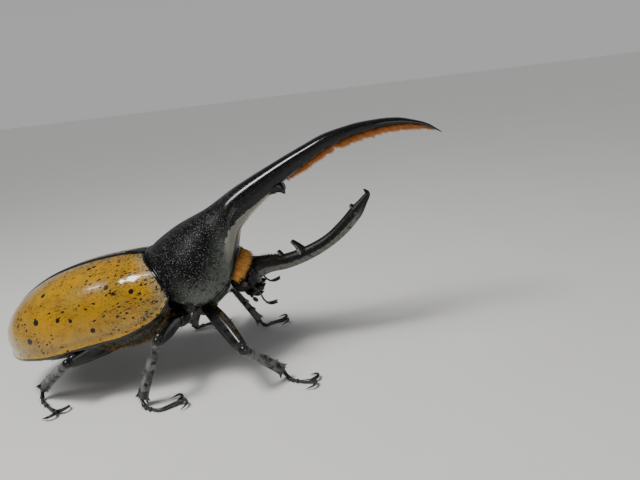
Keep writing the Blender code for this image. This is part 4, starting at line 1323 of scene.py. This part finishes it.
def neck_brush(draw):
    """The orange brush that fills the pronotum's front opening, over the back of the head."""
    for _ in range(BRUSH_LOCKS):
        share = draw.uniform(-0.72, 0.72)
        depth = draw.random()
        rim = opening_point(share)
        heart = Vector((rim.x - 1.2, rim.y * 0.55, -17.0))
        root = rim.lerp(heart, 0.04 + 0.36 * depth)
        lie = Vector((1.0, -0.16 * rim.y / 7 + 0.2 * unit(draw), -0.75 + 0.35 * depth + 0.25 * unit(draw)))
        length = draw.uniform(2.7, 4.9) * (1.1 - 0.35 * abs(share))
        place = (share / 2 + 0.5, depth)
        yield from hair_lock(root, lie, (0, 0, -1), length, place, 0.5, BRUSH_LOCK_TUFTS, draw)


def head_hair(draw):
    """Short dusky hair over the rough root of the head's horn."""
    horn = head_horn()
    for _ in range(HEAD_TUFTS):
        t = 0.2 * draw.random() ** 0.8
        angle = math.radians(90 + 70 * unit(draw))
        root, outward = horn.outward(t, angle)
        lie = Vector((0.9, 0.0, 0.1)) + outward * draw.uniform(0.3, 0.8)
        yield root - outward * 0.1, lie, outward, draw.uniform(0.5, 1.0), (t / 0.2, angle / math.pi)


def chest_hair(draw):
    """Golden hair down the sides of the hind thorax and round the hips."""
    for index in range(CHEST_TUFTS):
        share = draw.uniform(0.01, 0.3)
        angle = math.radians(-draw.uniform(2, 80))
        if index % 2:
            angle = -math.pi - angle
        root = underside_point(share, angle)
        outward = (root - Vector((root.x, 0.0, -12.0))).normalized()
        lie = outward * 0.6 + Vector((-0.7, 0.0, -0.45)) + Vector((unit(draw), unit(draw), 0.0)) * 0.15
        place = (share * 3, (angle + math.pi) / math.pi)
        yield root - outward * 0.1, lie, outward, draw.uniform(0.9, 1.8), place
    for pair in HIPS:
        for side in (-1, 1):
            yield from hip_hair(pair, side, draw)


def hip_hair(pair, side, draw):
    """Hair round the joint that a leg grows from."""
    middle = hip_place(pair, side)
    for _ in range(HIP_TUFTS):
        around = draw.uniform(0, math.tau)
        outward = Vector((math.cos(around), side * 1.1, math.sin(around))).normalized()
        root = middle + Vector([a * b for a, b in zip(outward, HIPS[pair][1])]) * 0.94
        lie = outward + Vector((0.0, side * 0.8, -0.4))
        yield root, lie, outward, draw.uniform(0.8, 1.5), (around / math.tau, 0.5 + 0.4 * side)


def belly_hair(draw):
    """Rows of short hair along the belly rings."""
    for _ in range(BELLY_TUFTS):
        ring = draw.randrange(STERNITES)
        x = APEX_X + (WAIST_X - APEX_X) * (ring + 0.96) / STERNITES
        if x < CREST_X:
            turn = math.asin(min((CREST_X - x) / (CREST_X - APEX_X), 1.0))
            share = FRONT_SHARE + (1 - FRONT_SHARE) * turn / (math.pi / 2)
        else:
            share = FRONT_SHARE * (FRONT_X - x) / (FRONT_X - CREST_X)
        angle = -math.pi / 2 + math.radians(78) * unit(draw)
        root = underside_point(share, angle) + Vector((0, 0, 0.1))
        lie = Vector((-1.0, 0.15 * unit(draw), -0.35))
        yield root, lie, (0, 0, -1), draw.uniform(0.6, 1.1), (share, angle / -math.pi)


def leg_hair(draw):
    """Golden strips along the tops of the thighs and sparse hair along the shins."""
    for number, (pair, side) in enumerate((pair, side) for pair in LEGS for side in (-1, 1)):
        leg = Leg(pair, side)
        for limb, (count, spread, low, high, length) in ((leg.thigh(), THIGH_HAIR), (leg.shin(), SHIN_HAIR)):
            for _ in range(count):
                t = draw.uniform(low, high)
                root, outward = limb.outward(t, math.radians(90 + spread * unit(draw)))
                lie = limb.curve.heading(t) + outward * draw.uniform(0.25, 0.6)
                reach = length * draw.uniform(0.7, 1.1)
                yield root - outward * 0.08, lie, outward, reach, ((number + 0.5) / 6, t)


def build_hair(draw):
    strand = strand_mesh()
    dense = [tuft_mesh(strand, 5, 0.16, draw) for _ in range(6)]
    loose = [tuft_mesh(strand, 4, 0.34, draw) for _ in range(6)]
    finishes = {name: hair_finish(name, *tones) for name, tones in HAIR_TONES.items()}
    coats = [
        ("horn_fringe", horn_fringe, dense, "orange_hair", TO_FLOOR),
        ("neck_brush", neck_brush, dense, "brush_hair", TO_FLOOR),
        ("belt_hair", belt_hair, loose, "brush_hair", TO_FLOOR),
        ("head_hair", head_hair, loose, "dusky_hair", TO_FLOOR),
        ("chest_hair", chest_hair, loose, "golden_hair", TO_FLOOR),
        ("belly_hair", belly_hair, loose, "golden_hair", TO_FLOOR),
        ("leg_hair", leg_hair, loose, "golden_hair", ON_FLOOR),
    ]
    for name, grow, tufts, tones, frame in coats:
        coat(name, tufts, list(grow(draw)), finishes[tones], frame)
    for mesh in (strand, *dense, *loose):
        bpy.data.meshes.remove(mesh)


# Stage

def build_stage():
    """A wide pale floor, a soft pale world and studio lights."""
    bm = bmesh.new()
    bmesh.ops.create_grid(bm, x_segments=1, y_segments=1, size=FLOOR_SIZE)
    floor = placed("floor", mesh_from(bm, "floor"))
    floor.data.materials.append(floor_finish().material)
    bpy.context.scene.world = studio_world()
    soft_sun()
    for lamp in LAMPS:
        area_light(*lamp)


def studio_world():
    """A dim room above, and a band at the floor's own tone where the floor ends."""
    world = bpy.data.worlds.new("studio")
    world.use_nodes = True
    nodes = Nodes(world.node_tree)
    height = nodes.axis(nodes.coordinate("Generated"), 2)
    colour = nodes.mix(height.rise(*HORIZON_BAND), HORIZON, CEILING)
    nodes.fill(world.node_tree.nodes["Background"].inputs["Color"], colour)
    return world


def soft_sun():
    """A wide, distant light that reaches the whole floor evenly and makes no highlights."""
    lamp = bpy.data.lights.new("daylight", "SUN")
    lamp.energy = SUN_STRENGTH
    lamp.angle = SUN_WIDTH
    light = placed("daylight", lamp)
    light.rotation_euler = SUN_TOWARDS.to_track_quat("Z", "Y").to_euler()
    light.visible_glossy = False


def area_light(name, place, target, size, power):
    lamp = bpy.data.lights.new(name, "AREA")
    lamp.shape = "RECTANGLE"
    lamp.size, lamp.size_y = size[0] * MM, size[1] * MM
    lamp.energy = power
    light = placed(name, lamp)
    light.location = Vector(place) * MM
    light.rotation_euler = (Vector(target) - Vector(place)).to_track_quat("-Z", "Y").to_euler()


def build_camera():
    """Stands where the photo was taken from, over a floor that is level."""
    lens = bpy.data.cameras.new("camera")
    lens.sensor_width = SENSOR
    lens.lens = FOCAL * SENSOR / FRAME_WIDTH
    lens.clip_start = 0.005
    camera = placed("camera", lens)
    aim = Matrix.Rotation(math.radians(90) - CAMERA_PITCH, 4, "X") @ Matrix.Rotation(-CAMERA_ROLL, 4, "Z")
    camera.matrix_world = Matrix.Translation(CAMERA_PLACE * MM) @ aim
    bpy.context.scene.camera = camera


def build_beetle():
    case = wing_case_finish()
    shell = shell_finish()
    legs = leg_finish()
    eyes = eye_finish()
    for side in (-1, 1):
        wing_case(side, case)
        eye(side, eyes)
        feeler(side, legs)
        palp(side, legs)
        for pair in LEGS:
            for joint in (thigh, shin, foot):
                joint(Leg(pair, side), legs)
    scutellum(shell)
    shield_and_horn(shield_finish())
    shield_rims(shell)
    head_and_horn(head_finish())
    mouth(shell)
    underside(shell)
    throat(shell)
    build_hair(random.Random(SEED))


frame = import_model()
build_camera()
build_stage()
build_beetle()
